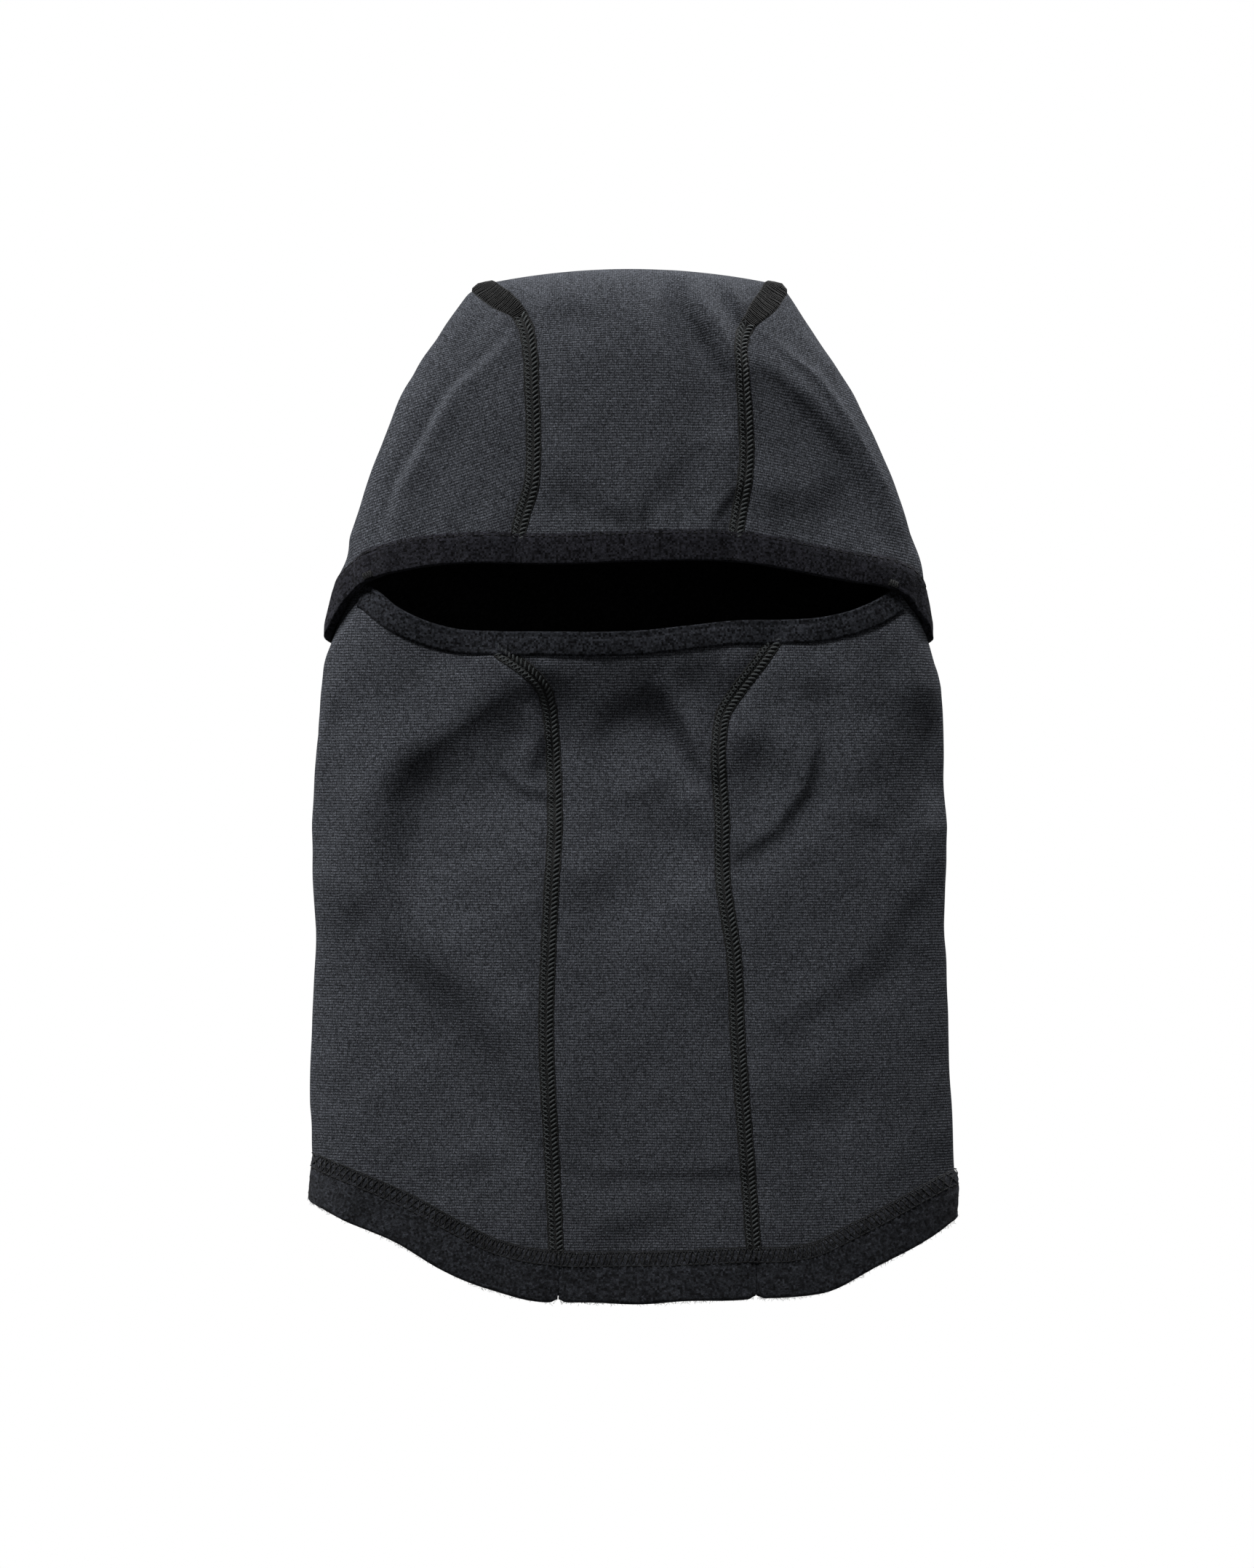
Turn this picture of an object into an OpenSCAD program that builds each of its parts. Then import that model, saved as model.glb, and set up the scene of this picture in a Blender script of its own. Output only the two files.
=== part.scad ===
// Hinged winter balaclava, as it lies flat with its own loft, standing on its hem.
// X runs across the face, -Y is the front, Z is up. The origin is under the middle of the garment,
// at the height of the lowest point of the front hem. Left and right are the wearer's, so left
// is +X. All lengths are in millimetres.
// A hood laps over the outside of a neck gaiter. The gaiter's front edge is the face mask.

/* [Garment] */
// Height from the front hem to the top of the crown
garment_h = 413; // [405:1:425]
// Half the width of the neck gaiter
neck_half = 126; // [122:1:128]
// Half the width across the hem
hem_half = 129.5; // [126:0.5:133]
// Half the width of the hood at its lower edge, beside the ears
ear_half = 120.2; // [119.6:0.2:123]
// Half the distance between the two corners of the crown
crown_half = 61; // [56:1:66]
// Half of the gaiter's front-to-back loft
gaiter_loft = 25; // [23:0.5:26]
// Half of the hood's front-to-back loft
hood_loft = 28.5; // [28:0.5:34]

/* [Fabric] */
// Thickness of the brushed fleece jersey
fabric_t = 2; // [1.6:0.1:2.2]
// Thickness of the binding tape
tape_t = 0.9; // [0.7:0.1:1]
// Thickness of a seam's cover thread
thread_t = 0.8; // [0.5:0.1:1]
// Width of a flatlock seam
flatlock_w = 6.4; // [5:0.2:8]
// Air kept between pieces that lie on each other
gap = 0.4; // [0.35:0.05:0.5]

/* [Face opening] */
// Height of the brow edge
brow_z = 295; // [290:1:300]
// Height of the mask's edge at the middle
mask_z = 268; // [255:1:272]
// How much higher the mask's edge is at the corners of the opening
mask_rise = 20; // [16:1:22]
// Half the width of the opening between its two corners
opening_half = 105; // [102:0.5:107]
// Height of the brow binding
brow_tape_w = 12; // [9:0.5:13]
// Height of the mask binding
mask_tape_w = 9.5; // [8:0.5:11]

/* [Neck] */
// How far the sides of the front hem stand above its middle
hem_rise = 44; // [36:1:50]
// Height of the middle of the back hem above the middle of the front hem
back_hem_z = 12; // [6:1:24]
// Height of the turned-up fleece band
hem_band_w = 19; // [15:0.5:22]
// How far the gaiter reaches up inside the hood
lap = 28; // [26:1:32]

/* [Hidden] */

charcoal = [0.16, 0.165, 0.175];
black_tape = [0.08, 0.08, 0.09];
black_thread = [0.06, 0.065, 0.06];
black_fleece = [0.07, 0.07, 0.075];
label_grey = [0.6, 0.6, 0.6];

waist_z = 150;         // the gaiter narrows above this height and flares below it
gaiter_top_z = 300;
gaiter_top_half = 100;
gaiter_top_loft = gaiter_loft - 4;
dome_z = 358;          // the hood starts to close over the crown here
crown_sag = 6.5;       // how far the crown's corners lie under its middle
hood_front_drop = 9;   // fall of the hood's lower edge from the brow to the ears
hood_side_drop = 52;   // its further fall from the ears to the nape
hood_flare = 1;        // the hood's loose edge stands out by this much
front_seam_half = 33.5;    // half the front panel's width at the throat
side_seam_phi = 106;       // the gaiter's side seams lie a little behind its sides
hood_seam_half = 43;       // half the width of the hood's centre panel at the brow
seam_gap = 0.25;       // degrees left free on each side of a seam, under the cover thread
edge_fold = 1.4;       // the fabric stops this far from the fold of a binding
hem_fold = 1.6;        // the fabric stops this far above the fold of the hem band
mask_reach = 66;       // the mask binding ends at this angle, tucked under the brow binding
needle_gap = 5.6;      // height of the threads of a two-needle seam
rows = 14;             // steps along a panel's height
centre_columns = 8;    // steps across a centre panel
side_columns = 16;     // steps round a side or back panel

function clamp(v, low = 0, high = 1) = min(max(v, low), high);
function smooth(v) = let (c = clamp(v)) c * c * (3 - 2 * c);
function mix(a, b, v) = a + (b - a) * v;
function reversed(list) = [for (i = [len(list) - 1 : -1 : 0]) list[i]];

// ---- Outlines. phi is 0 at the middle of the front, 90 at the side and 180 at the back. ----

// Angle between a direction and the front, on either side
function turned(phi) = abs(phi > 180 ? phi - 360 : phi);

// Half-width of the gaiter at a height
function gaiter_half(z) = z < waist_z
    ? mix(hem_half, neck_half, clamp((z - hem_rise) / (waist_z - hem_rise)))
    : mix(neck_half, gaiter_top_half, pow((z - waist_z) / (gaiter_top_z - waist_z), 4));

// Half-loft of the gaiter at a height
function gaiter_deep(z) = mix(gaiter_loft, gaiter_top_loft, smooth((z - 200) / 80));

// Half-width of the hood at a height, with the flare of its loose lower edge
function hood_half(z) = let (a = clamp((z - 270) / (garment_h - 270), -0.2, 1))
    ear_half - (ear_half - crown_half) * (0.4 * a + 0.6 * a * abs(a))
    + hood_flare * pow(clamp((285 - z) / 20), 2);

// Height of the hood's lower edge
function hood_edge(phi) = let (turn = turned(phi))
    brow_z - hood_front_drop * (turn < 90 ? pow(sin(turn), 2) : 1)
    - hood_side_drop * smooth((turn - 50) / 100);

// Height of the gaiter's upper edge: the mask in front, lapped under the hood elsewhere
function gaiter_edge(phi) = let (
        turn = turned(phi),
        lapped = hood_edge(phi) + lap,
        rise = pow(max(0, 116 * sin(turn) - 50) / (opening_half - 50), 2))
    turn >= 90 ? lapped : min(lapped, mask_z + mask_rise * rise);

// Height of the hem's fold
function hem_edge(phi) = let (
        low = turned(phi) < 90 ? 0 : back_hem_z,
        rise = pow(max(0, hem_half * abs(sin(phi)) - 35) / (hem_half - 35), 1.3))
    mix(low, hem_rise, rise);

// Half the width of the gaiter's front panel, and of the hood's centre panel, by height
function front_seam(z) = front_seam_half + 5.5 * smooth((200 - z) / 100)
    + 17 * pow(clamp((z - 225) / 38), 2);
function hood_seam(z) = mix(hood_seam_half, crown_half - 3,
    pow(clamp((z - 380) / (garment_h - 380)), 2));

// ---- Surface points. off is the distance outside the fabric's outer face. ----

function gaiter_point(phi, z, off) =
    [(gaiter_half(z) + off) * sin(phi), -(gaiter_deep(z) + off) * cos(phi), z];

function hood_point(phi, z, off) = let (
        up = clamp((z - dome_z) / (garment_h - dome_z)),
        w = hood_half(z) + off,
        d = (hood_loft + off) * sqrt(max(0, 1 - up * up)),
        sag = crown_sag * pow(sin(phi) * w / crown_half, 2) * smooth(up))
    [w * sin(phi), -d * cos(phi), z + off * up - sag];

// Height of a point that is a share t of the way up a panel
function gaiter_z(phi, t, low, high) = mix(hem_edge(phi) + low, gaiter_edge(phi) - high, t);
function hood_z(phi, t, low) = let (edge = hood_edge(phi) + low)
    edge + (garment_h - edge) * sin(90 * t);

// Angle at which a surface of half-width w is half away from the middle, in front or at the back
function seam_phi(half, w, back) = let (a = asin(clamp(half / w, 0, 0.985))) back ? 180 - a : a;
function gaiter_seam_phi(t, side) = let (z = mix(10, mask_z, t))
    side ? side_seam_phi : seam_phi(front_seam(z), gaiter_half(z), false);
function hood_seam_phi(t, back) = let (z = hood_z(20, t, 0))
    seam_phi(hood_seam(z), hood_half(z), back);

// ---- Solids ----

// Skin over rings of equal, even length. The second half of a ring runs back along the first.
module skin(rings, loop = false) {
    n = len(rings[0]);
    m = len(rings);
    sides = [for (i = [0 : loop ? m - 1 : m - 2], k = [0 : n - 1])
        let (a = i * n + k, b = i * n + (k + 1) % n, up = ((i + 1) % m - i) * n)
        each [[a, b, b + up], [a, b + up, a + up]]];
    ends = loop ? [] : [for (k = [0 : n / 2 - 2])
        let (a = k, b = k + 1, c = n - 2 - k, d = n - 1 - k, e = (m - 1) * n)
        each [[a, c, b], [a, d, c], [e + a, e + b, e + c], [e + a, e + c, e + d]]];
    polyhedron([for (r = rings) each r], concat(sides, ends));
}

// A right-hand piece mirrors its left-hand one
module mirrored() { mirror([1, 0, 0]) children(); }

// Ring of a panel from angle a to angle b, at a share t of its height
function gaiter_ring(a, b, t, columns) = let (
        angles = [for (i = [0 : columns]) mix(a, b, i / columns)])
    concat([for (p = angles) gaiter_point(p, gaiter_z(p, t, hem_fold, edge_fold), 0)],
        [for (p = reversed(angles)) gaiter_point(p, gaiter_z(p, t, hem_fold, edge_fold), -fabric_t)]);
function hood_ring(a, b, t, columns) = let (
        angles = [for (i = [0 : columns]) mix(a, b, i / columns)])
    concat([for (p = angles) hood_point(p, hood_z(p, t, edge_fold), 0)],
        [for (p = reversed(angles)) hood_point(p, hood_z(p, t, edge_fold), -fabric_t)]);

// Front, side or back panel of the gaiter
module gaiter_panel(where, columns) {
    color(charcoal) skin([for (i = [0 : rows]) let (
            t = i / rows,
            front = gaiter_seam_phi(t, false),
            side = gaiter_seam_phi(t, true),
            span = where == "front" ? [-front, front]
                : where == "side" ? [front, side]
                : [side, 360 - side])
        gaiter_ring(span[0] + seam_gap, span[1] - seam_gap, t, columns)]);
}

// Centre panel of the hood: one strip from the brow, over the crown, down to the nape
module hood_center_panel() {
    front = [for (i = [0 : rows]) let (a = hood_seam_phi(i / rows, false) - seam_gap)
        hood_ring(-a, a, i / rows, centre_columns)];
    back = [for (i = [rows - 1 : -1 : 0]) let (a = hood_seam_phi(i / rows, true) + seam_gap)
        hood_ring(360 - a, a, i / rows, centre_columns)];
    color(charcoal) skin(concat(front, back));
}

// Side panel of the hood. It ends in a narrow tip under the crown's corner.
module hood_side_panel() {
    tip = 0.95;
    color(charcoal) skin([for (i = [0 : rows]) let (
            t = tip * i / rows,
            front = hood_seam_phi(t, false) + seam_gap,
            back = hood_seam_phi(t, true) - seam_gap)
        hood_ring(front, back, t, side_columns)]);
}

// Cover thread of a seam of the gaiter, from the hem band to the upper edge
module gaiter_flatlock(side) {
    below_edge = side ? edge_fold : mask_tape_w + 2;
    color(black_thread) skin([for (i = [0 : rows]) let (
            t = i / rows,
            phi = gaiter_seam_phi(t, side),
            z = gaiter_z(phi, t, hem_band_w + 2, below_edge),
            mm_per_degree = norm([gaiter_half(z) * cos(phi), gaiter_deep(z) * sin(phi)]) * PI / 180,
            reach = flatlock_w / 2 / mm_per_degree)
        [gaiter_point(phi - reach, z, gap + thread_t), gaiter_point(phi + reach, z, gap + thread_t),
         gaiter_point(phi + reach, z, gap), gaiter_point(phi - reach, z, gap)]]);
}

// Cover thread of a crown seam, from the brow, over the crown's corner, to the nape
function crown_thread_ring(t, back) = let (
        z = hood_z(back ? 160 : 20, t, brow_tape_w + 2),
        inner = asin((hood_seam(z) - flatlock_w / 2) / hood_half(z)),
        outer = asin(clamp((hood_seam(z) + flatlock_w / 2) / hood_half(z), 0, 0.998)),
        a = back ? 180 - inner : inner,
        b = back ? 180 - outer : outer)
    [hood_point(a, z, gap + thread_t), hood_point(b, z, gap + thread_t),
     hood_point(b, z, gap), hood_point(a, z, gap)];

module crown_flatlock() {
    color(black_thread) skin(concat(
        [for (i = [0 : rows]) crown_thread_ring(i / rows, false)],
        [for (i = [rows - 1 : -1 : 0]) crown_thread_ring(i / rows, true)]));
}

// Section of a tape folded over an edge, as [distance outside the fabric, height from the edge]
function fold_section(outer_leg, inner_leg) = let (face = gap + tape_t, back = -fabric_t - gap)
    [[face, outer_leg], [face, 0], [back - tape_t, 0], [back - tape_t, inner_leg],
     [back, inner_leg], [back, tape_t], [gap, tape_t], [gap, outer_leg]];

// Section of threads that lie on a tape, with their middle at a height from the edge
function thread_section(middle, height, thick) = let (face = tape_t + 2 * gap)
    [[face + thick, middle + height / 2], [face + thick, middle - height / 2],
     [face, middle - height / 2], [face, middle + height / 2]];

// Rings of a section set at an edge. rise is -1 where the section hangs from the edge.
function on_hood(section, angles) = [for (p = angles)
    [for (s = section) hood_point(p, hood_edge(p) + s[1], s[0])]];
function on_mask(section, angles) = [for (p = angles)
    [for (s = reversed(section)) gaiter_point(p, gaiter_edge(p) - s[1], s[0])]];
function on_hem(section, angles) = [for (p = angles)
    [for (s = section) gaiter_point(p, hem_edge(p) + s[1], s[0])]];

full_turn = [0 : 5 : 355];

module brow_binding() {
    color(black_tape) skin(on_hood(fold_section(brow_tape_w, brow_tape_w - 3), full_turn), true);
}

module brow_binding_stitch() {
    color(black_thread)
        skin(on_hood(thread_section(brow_tape_w - 1.3, 0.6, 0.4), full_turn), true);
}

module mask_binding() {
    color(black_tape) skin(on_mask(fold_section(mask_tape_w, mask_tape_w - 2),
        [-mask_reach : 5.5 : mask_reach]));
}

module mask_binding_stitch() {
    color(black_thread) skin(on_mask(thread_section(mask_tape_w - 1.3, 0.6, 0.4),
        [-60 : 5 : 60]));
}

// Turned-up fleece band of the hem, between angles a and b
module hem_band(a, b, columns) {
    color(black_fleece) skin(on_hem(fold_section(hem_band_w, hem_band_w - 9),
        [for (i = [0 : columns]) mix(a + seam_gap, b - seam_gap, i / columns)]));
}

module hem_coverstitch() {
    color(black_thread)
        skin(on_hem(thread_section(hem_band_w - 1 - needle_gap / 2, needle_gap, thread_t), full_turn), true);
}

// Two-needle seam that holds the hood to the gaiter at the nape, between the crown seams
module nape_lap_stitch() {
    reach = asin((hood_seam_half - flatlock_w) / ear_half);
    section = [for (s = thread_section(brow_tape_w + 2 + needle_gap / 2, needle_gap, thread_t))
        [s[0] - tape_t - gap, s[1]]];
    color(black_thread) skin(on_hood(section, [for (i = [-6 : 6]) 180 + reach * i / 6]));
}

// Bar tack at a corner of the opening, along the lower edge of the brow binding
module bartack() {
    phi = asin(opening_half / hood_half(brow_z));
    off = tape_t + 2 * gap + 0.8;
    spot = hood_point(phi, hood_edge(phi) + 2.2, off);
    way = hood_point(phi + 1, hood_edge(phi + 1) + 2.2, off) - spot;
    color(black_thread) translate(spot)
        rotate([0, -atan2(way.z, norm([way.x, way.y])), atan2(way.y, way.x)])
            cube([5, 1, 1.6], center = true);
}

// Blank label sewn inside the gaiter's back
module care_label() {
    size = [30, 0.5, 42];
    inner_y = gaiter_loft - fabric_t - 1;
    color(label_grey) translate([-size.x / 2, inner_y - size.y, 155]) cube(size);
}

front_phi = gaiter_seam_phi(0, false);

hood_center_panel();
hood_side_panel();  // hood_side_panel_left
mirrored() hood_side_panel();  // hood_side_panel_right
crown_flatlock();  // crown_flatlock_left
mirrored() crown_flatlock();  // crown_flatlock_right
brow_binding();
brow_binding_stitch();
nape_lap_stitch();
gaiter_panel("front", centre_columns);  // gaiter_front_panel
gaiter_panel("side", side_columns);  // gaiter_side_panel_left
mirrored() gaiter_panel("side", side_columns);  // gaiter_side_panel_right
gaiter_panel("back", side_columns);  // gaiter_back_panel
gaiter_flatlock(false);  // front_flatlock_left
mirrored() gaiter_flatlock(false);  // front_flatlock_right
gaiter_flatlock(true);  // side_flatlock_left
mirrored() gaiter_flatlock(true);  // side_flatlock_right
mask_binding();
mask_binding_stitch();
bartack();  // bartack_left
mirrored() bartack();  // bartack_right
hem_band(-front_phi, front_phi, centre_columns);  // hem_band_front
hem_band(front_phi, side_seam_phi, side_columns);  // hem_band_left
mirrored() hem_band(front_phi, side_seam_phi, side_columns);  // hem_band_right
hem_band(side_seam_phi, 360 - side_seam_phi, side_columns);  // hem_band_back
hem_coverstitch();
care_label();
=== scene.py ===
"""The balaclava's fabric, bindings, seams and hem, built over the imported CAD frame.

Lengths are in millimetres until a mesh is made. Left is the wearer's left, +X. A place on the hood or the
gaiter is given by phi, in radians, 0 at the front, pi/2 at the left side and pi at the back, and by z.
"""
import math

import bpy
import numpy as np
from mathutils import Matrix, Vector


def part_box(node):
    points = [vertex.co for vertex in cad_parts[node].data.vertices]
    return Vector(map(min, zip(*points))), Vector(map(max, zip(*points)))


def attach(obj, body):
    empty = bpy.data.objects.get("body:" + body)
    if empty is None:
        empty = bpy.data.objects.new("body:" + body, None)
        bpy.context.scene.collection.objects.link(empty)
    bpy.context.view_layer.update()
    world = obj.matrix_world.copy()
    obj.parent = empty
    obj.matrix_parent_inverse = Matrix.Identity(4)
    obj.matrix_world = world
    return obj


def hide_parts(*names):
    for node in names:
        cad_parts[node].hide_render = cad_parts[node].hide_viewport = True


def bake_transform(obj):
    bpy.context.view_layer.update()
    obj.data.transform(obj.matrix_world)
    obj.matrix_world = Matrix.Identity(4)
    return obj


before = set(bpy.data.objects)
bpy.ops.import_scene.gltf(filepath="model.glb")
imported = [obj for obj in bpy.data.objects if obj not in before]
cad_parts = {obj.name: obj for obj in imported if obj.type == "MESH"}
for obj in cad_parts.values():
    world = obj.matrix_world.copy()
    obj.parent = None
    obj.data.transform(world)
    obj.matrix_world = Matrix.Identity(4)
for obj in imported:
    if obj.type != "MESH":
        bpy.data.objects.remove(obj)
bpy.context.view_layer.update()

MM = 0.001
HALF_PI = math.pi / 2


def top_of(node, axis):
    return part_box(node)[1][axis] / MM


def clamp(v, low=0.0, high=1.0):
    return np.clip(v, low, high)


def smooth(v):
    c = clamp(v)
    return c * c * (3 - 2 * c)


def mix(a, b, v):
    return a + (b - a) * v


def unit(v):
    return v / np.maximum(np.linalg.norm(v, axis=-1, keepdims=True), 1e-9)


def run_along(points):
    """The length along a path at each of its points."""
    return np.concatenate([[0], np.cumsum(np.linalg.norm(np.diff(points, axis=0), axis=1))])


def curve(points):
    """A smooth function through a few (place, value) points."""
    x, y = np.array(points, float).T
    slope = np.gradient(y, x)

    def at(v):
        v = np.clip(v, x[0], x[-1])
        i = np.clip(np.searchsorted(x, v, side="right") - 1, 0, len(x) - 2)
        h = x[i + 1] - x[i]
        t = (v - x[i]) / h
        return ((2 * t**3 - 3 * t**2 + 1) * y[i] + (t**3 - 2 * t**2 + t) * h * slope[i]
                + (3 * t**2 - 2 * t**3) * y[i + 1] + (t**3 - t**2) * h * slope[i + 1])

    return at


# ---------------------------------------------------------------- the garment's shape, close to the CAD's

GARMENT_H = top_of("hood_center_panel", 2)
CROWN_HALF = 61.0
EAR_HALF = 120.2
NECK_HALF, HEM_HALF, GAITER_TOP_HALF = 126.0, 129.5, 100.0
# Half the depth of the gaiter: low down, at its slack top, and at the mask's two ends. The first gives way to
# the others above LOFT_Z, and the slack top to the ends beyond MASK_END_PHI, each over a run
GAITER_LOFT, GAITER_TOP_LOFT, MASK_LOFT = 25.0, 21.0, 28.5
LOFT_Z, LOFT_RUN = 200.0, 80.0
MASK_END_PHI, MASK_END_RUN = 0.62, 0.34
HOOD_LOFT = top_of("hood_center_panel", 1)
WAIST_Z, GAITER_TOP_Z, DOME_Z, CROWN_SAG = 150.0, 300.0, 358.0, 6.5
SHOULDER_POWER, DOME_POWER = 5.1, 2.4
# The hood is widest at the ears, flares a little below them, and tucks in again at its very edge
EAR_Z = 270.0
FLARE_Z, FLARE_RUN = 285.0, 20.0
TUCK_Z, TUCK_RUN, TUCK = 273.0, 8.0, 1.2
BROW_Z, BROW_HALF, MASK_Z, LAP = 295.0, 118.0, 268.0, 28.0
HEM_RISE, BACK_HEM_Z, BACK_HEM_HALF = 44.0, 12.0, 35.0
SIDE_SEAM_PHI = math.radians(106)
FABRIC_T = 2.0
BROW_TAPE_W, MASK_TAPE_W, HEM_BAND_W, FLATLOCK_W = 12.0, 9.5, 19.0, 6.4
SIDES = ((-1, "right"), (1, "left"))


def gaiter_half(z):
    up = clamp((z - WAIST_Z) / (GAITER_TOP_Z - WAIST_Z), 0, 1.2)
    upper = mix(NECK_HALF, GAITER_TOP_HALF, up ** SHOULDER_POWER)
    lower = mix(HEM_HALF, NECK_HALF, clamp((z - HEM_RISE) / (WAIST_Z - HEM_RISE)))
    return np.where(z < WAIST_Z, lower, upper)


def gaiter_deep(phi, z):
    """The mask's two ends hug the hood's edge; the rest of the top lies slack."""
    ends = smooth((turned(phi) - MASK_END_PHI) / MASK_END_RUN) * (np.cos(phi) > 0)
    return mix(GAITER_LOFT, mix(GAITER_TOP_LOFT, MASK_LOFT, ends), smooth((z - LOFT_Z) / LOFT_RUN))


def hood_half(z):
    a = clamp((z - EAR_Z) / (GARMENT_H - EAR_Z), -0.2, 1)
    drawn_in = (EAR_HALF - CROWN_HALF) * (0.4 * a + 0.6 * a * np.abs(a))
    flare = clamp((FLARE_Z - z) / FLARE_RUN) ** 2
    return EAR_HALF - drawn_in + flare - TUCK * smooth((TUCK_Z - z) / TUCK_RUN)


def gaiter_base(phi, v):
    """The gaiter, where the place v up the fabric is the height itself."""
    return np.stack([gaiter_half(v) * np.sin(phi), -gaiter_deep(phi, v) * np.cos(phi), v + 0 * phi], -1)


def hood_rise(v):
    """Height at the place v up the hood, and the dome's share of the full loft: 1 in front, -1 behind.

    v is the height up to the dome, and runs on over the crest and down the back. The dome is a little
    squarer than an ellipse, as on a hood laid flat.
    """
    rise = GARMENT_H - DOME_Z
    angle = clamp((v - DOME_Z) / rise, 0, math.pi)
    beyond = v - DOME_Z - math.pi * rise
    z = np.where(beyond > 0, DOME_Z - beyond, np.where(v < DOME_Z, v, DOME_Z + rise * np.sin(angle)))
    share = (1 - np.sin(angle) ** DOME_POWER) ** (1 / DOME_POWER)
    return z, share * np.sign(np.cos(angle))


CREST_V = DOME_Z + (GARMENT_H - DOME_Z) * HALF_PI


def hood_base(phi, v):
    z, turn = hood_rise(v)
    w = hood_half(z)
    up = clamp((z - DOME_Z) / (GARMENT_H - DOME_Z))
    sag = CROWN_SAG * (np.sin(phi) * w / CROWN_HALF) ** 2 * smooth(up)
    return np.stack([w * np.sin(phi), -HOOD_LOFT * turn * np.cos(phi), z - sag], -1)


def turned(phi):
    """The angle from the front, whichever way round it is taken."""
    return np.abs((phi + math.pi) % (2 * math.pi) - math.pi)


# The lie of the garment: the bound edges and the seams wander a little from the symmetric cut.
brow_lift = curve([(-112, 1.6), (-103, 2.4), (-80, 2.9), (-60, 1.9), (-35, 0), (6, 0.8), (45, 1.2), (85, -2),
                   (110, -0.8)])
mask_line = curve([(-112, 299), (-103, 288), (-95, 279.8), (-85, 274), (-72, 269.6), (-55, 267.9),
                   (-35, 267.6), (6, 268.1), (23, 270), (41, 272), (58, 272.5), (78, 274), (91, 277.6),
                   (101, 283), (112, 297)])
SEAM_FRONT = {
    -1: curve([(0, 28), (22, 29), (65, 31), (110, 33), (157, 31.6), (190, 30), (227, 31.4), (240, 32.6),
               (247, 35), (253, 41), (260, 51), (270, 60)]),
    1: curve([(0, 50.5), (22, 49), (65, 45.7), (110, 42.4), (140, 41), (169, 37), (195, 36.6), (227, 35.5),
              (236, 37.2), (244, 42), (252, 48), (260, 54), (270, 60)]),
}
SEAM_CROWN = {
    -1: curve([(290, 45), (307, 44), (315, 42), (326, 38.8), (342, 38), (364, 38.8), (380, 39.6), (391, 41.6),
               (398, 45), (404, 51), (409, 56), (GARMENT_H, 59)]),
    1: curve([(290, 41), (307, 42), (319, 44), (335, 46), (352, 45.6), (370, 44), (382, 43.4), (391, 46),
              (399, 51), (405, 55), (409, 57), (GARMENT_H, 59)]),
}
SEAM_CROWN_BACK = curve([(220, 43), (380, 43), (395, 47), (405, 53), (GARMENT_H, 59)])


# How far the hood's edge drops from the brow, over the angle from the front, in degrees
side_drop = curve([(0, 0), (50, 0), (62, 1.4), (70, 5.0), (76, 11), (82, 16.5), (90, 19.5), (105, 23),
                   (125, 35), (150, 51), (165, 52), (180, 52)])
EAR_DROP = 9.0
# The hem's lower edge hangs lower on the wearer's left
hem_line = curve([(-130, 42.5), (-115, 37), (-95, 28.6), (-75, 18), (-62, 11.6), (-46, 7), (0, 4.4), (46, 6),
                  (65, 6.4), (78, 8.8), (95, 16.6), (115, 27), (130, 35.5)])


def hood_edge(phi):
    turn = turned(phi)
    drop = np.where(turn < HALF_PI, np.sin(turn) ** 2, 1)
    lift = brow_lift(BROW_HALF * np.sin(phi)) * smooth((HALF_PI - turn) / 0.5)
    return BROW_Z - EAR_DROP * drop - side_drop(np.degrees(turn)) + lift


def gaiter_edge(phi):
    """The mask's edge in front. Behind the sides the gaiter runs up inside the hood."""
    turn = turned(phi)
    lapped = hood_edge(phi) + LAP
    mask = MASK_Z + 0 * phi
    # the mask's line is known over x, which depends on the height it gives
    for _ in range(6):
        mask = mask_line(gaiter_half(mask) * np.sin(phi))
    return np.where(turn >= HALF_PI, lapped, np.minimum(lapped, mask))


def hem_edge(phi):
    front = hem_line(HEM_HALF * np.sin(phi))
    side = np.where(np.sin(phi) > 0, hem_line(HEM_HALF), hem_line(-HEM_HALF))
    x = HEM_HALF * np.abs(np.sin(phi))
    outward = np.maximum(x - BACK_HEM_HALF, 0) / (HEM_HALF - BACK_HEM_HALF)
    back = mix(BACK_HEM_Z, side, outward ** 1.3)
    return np.where(turned(phi) < HALF_PI, front, back)


# ---------------------------------------------------------------- arc length round the garment

# Arc length is taken on one round for all heights, of the garment's mean half width and half depth
MEAN_HALF, MEAN_DEEP = 122.0, 25.0


def arc_per_phi(phi):
    return np.sqrt((MEAN_HALF * np.cos(phi)) ** 2 + (MEAN_DEEP * np.sin(phi)) ** 2)


_phi = np.linspace(-math.pi, math.pi, 4001)
_step = arc_per_phi(_phi)
_arc = np.concatenate([[0], np.cumsum((_step[1:] + _step[:-1]) / 2 * np.diff(_phi))])
_arc -= _arc[-1] / 2
HALF_ROUND = _arc[-1]
SIDE_ARC = float(np.interp(HALF_PI, _phi, _arc))


def arc_of(phi):
    """Arc length from the front. It runs past the back without a jump."""
    turns = np.round(phi / (2 * math.pi))
    return np.interp(phi - turns * 2 * math.pi, _phi, _arc) + turns * 2 * HALF_ROUND


def phi_of(arc):
    turns = np.round(arc / (2 * HALF_ROUND))
    return np.interp(arc - turns * 2 * HALF_ROUND, _arc, _phi) + turns * 2 * math.pi


# ---------------------------------------------------------------- folds, as relief on each surface

# A step that reaches less far than this is a crease, and stays sharp
SOFT_REACH = 4.5
SOFT_EASE, SHARP_EASE = 2.4, 0.8
RNG = np.random.default_rng(7)


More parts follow.
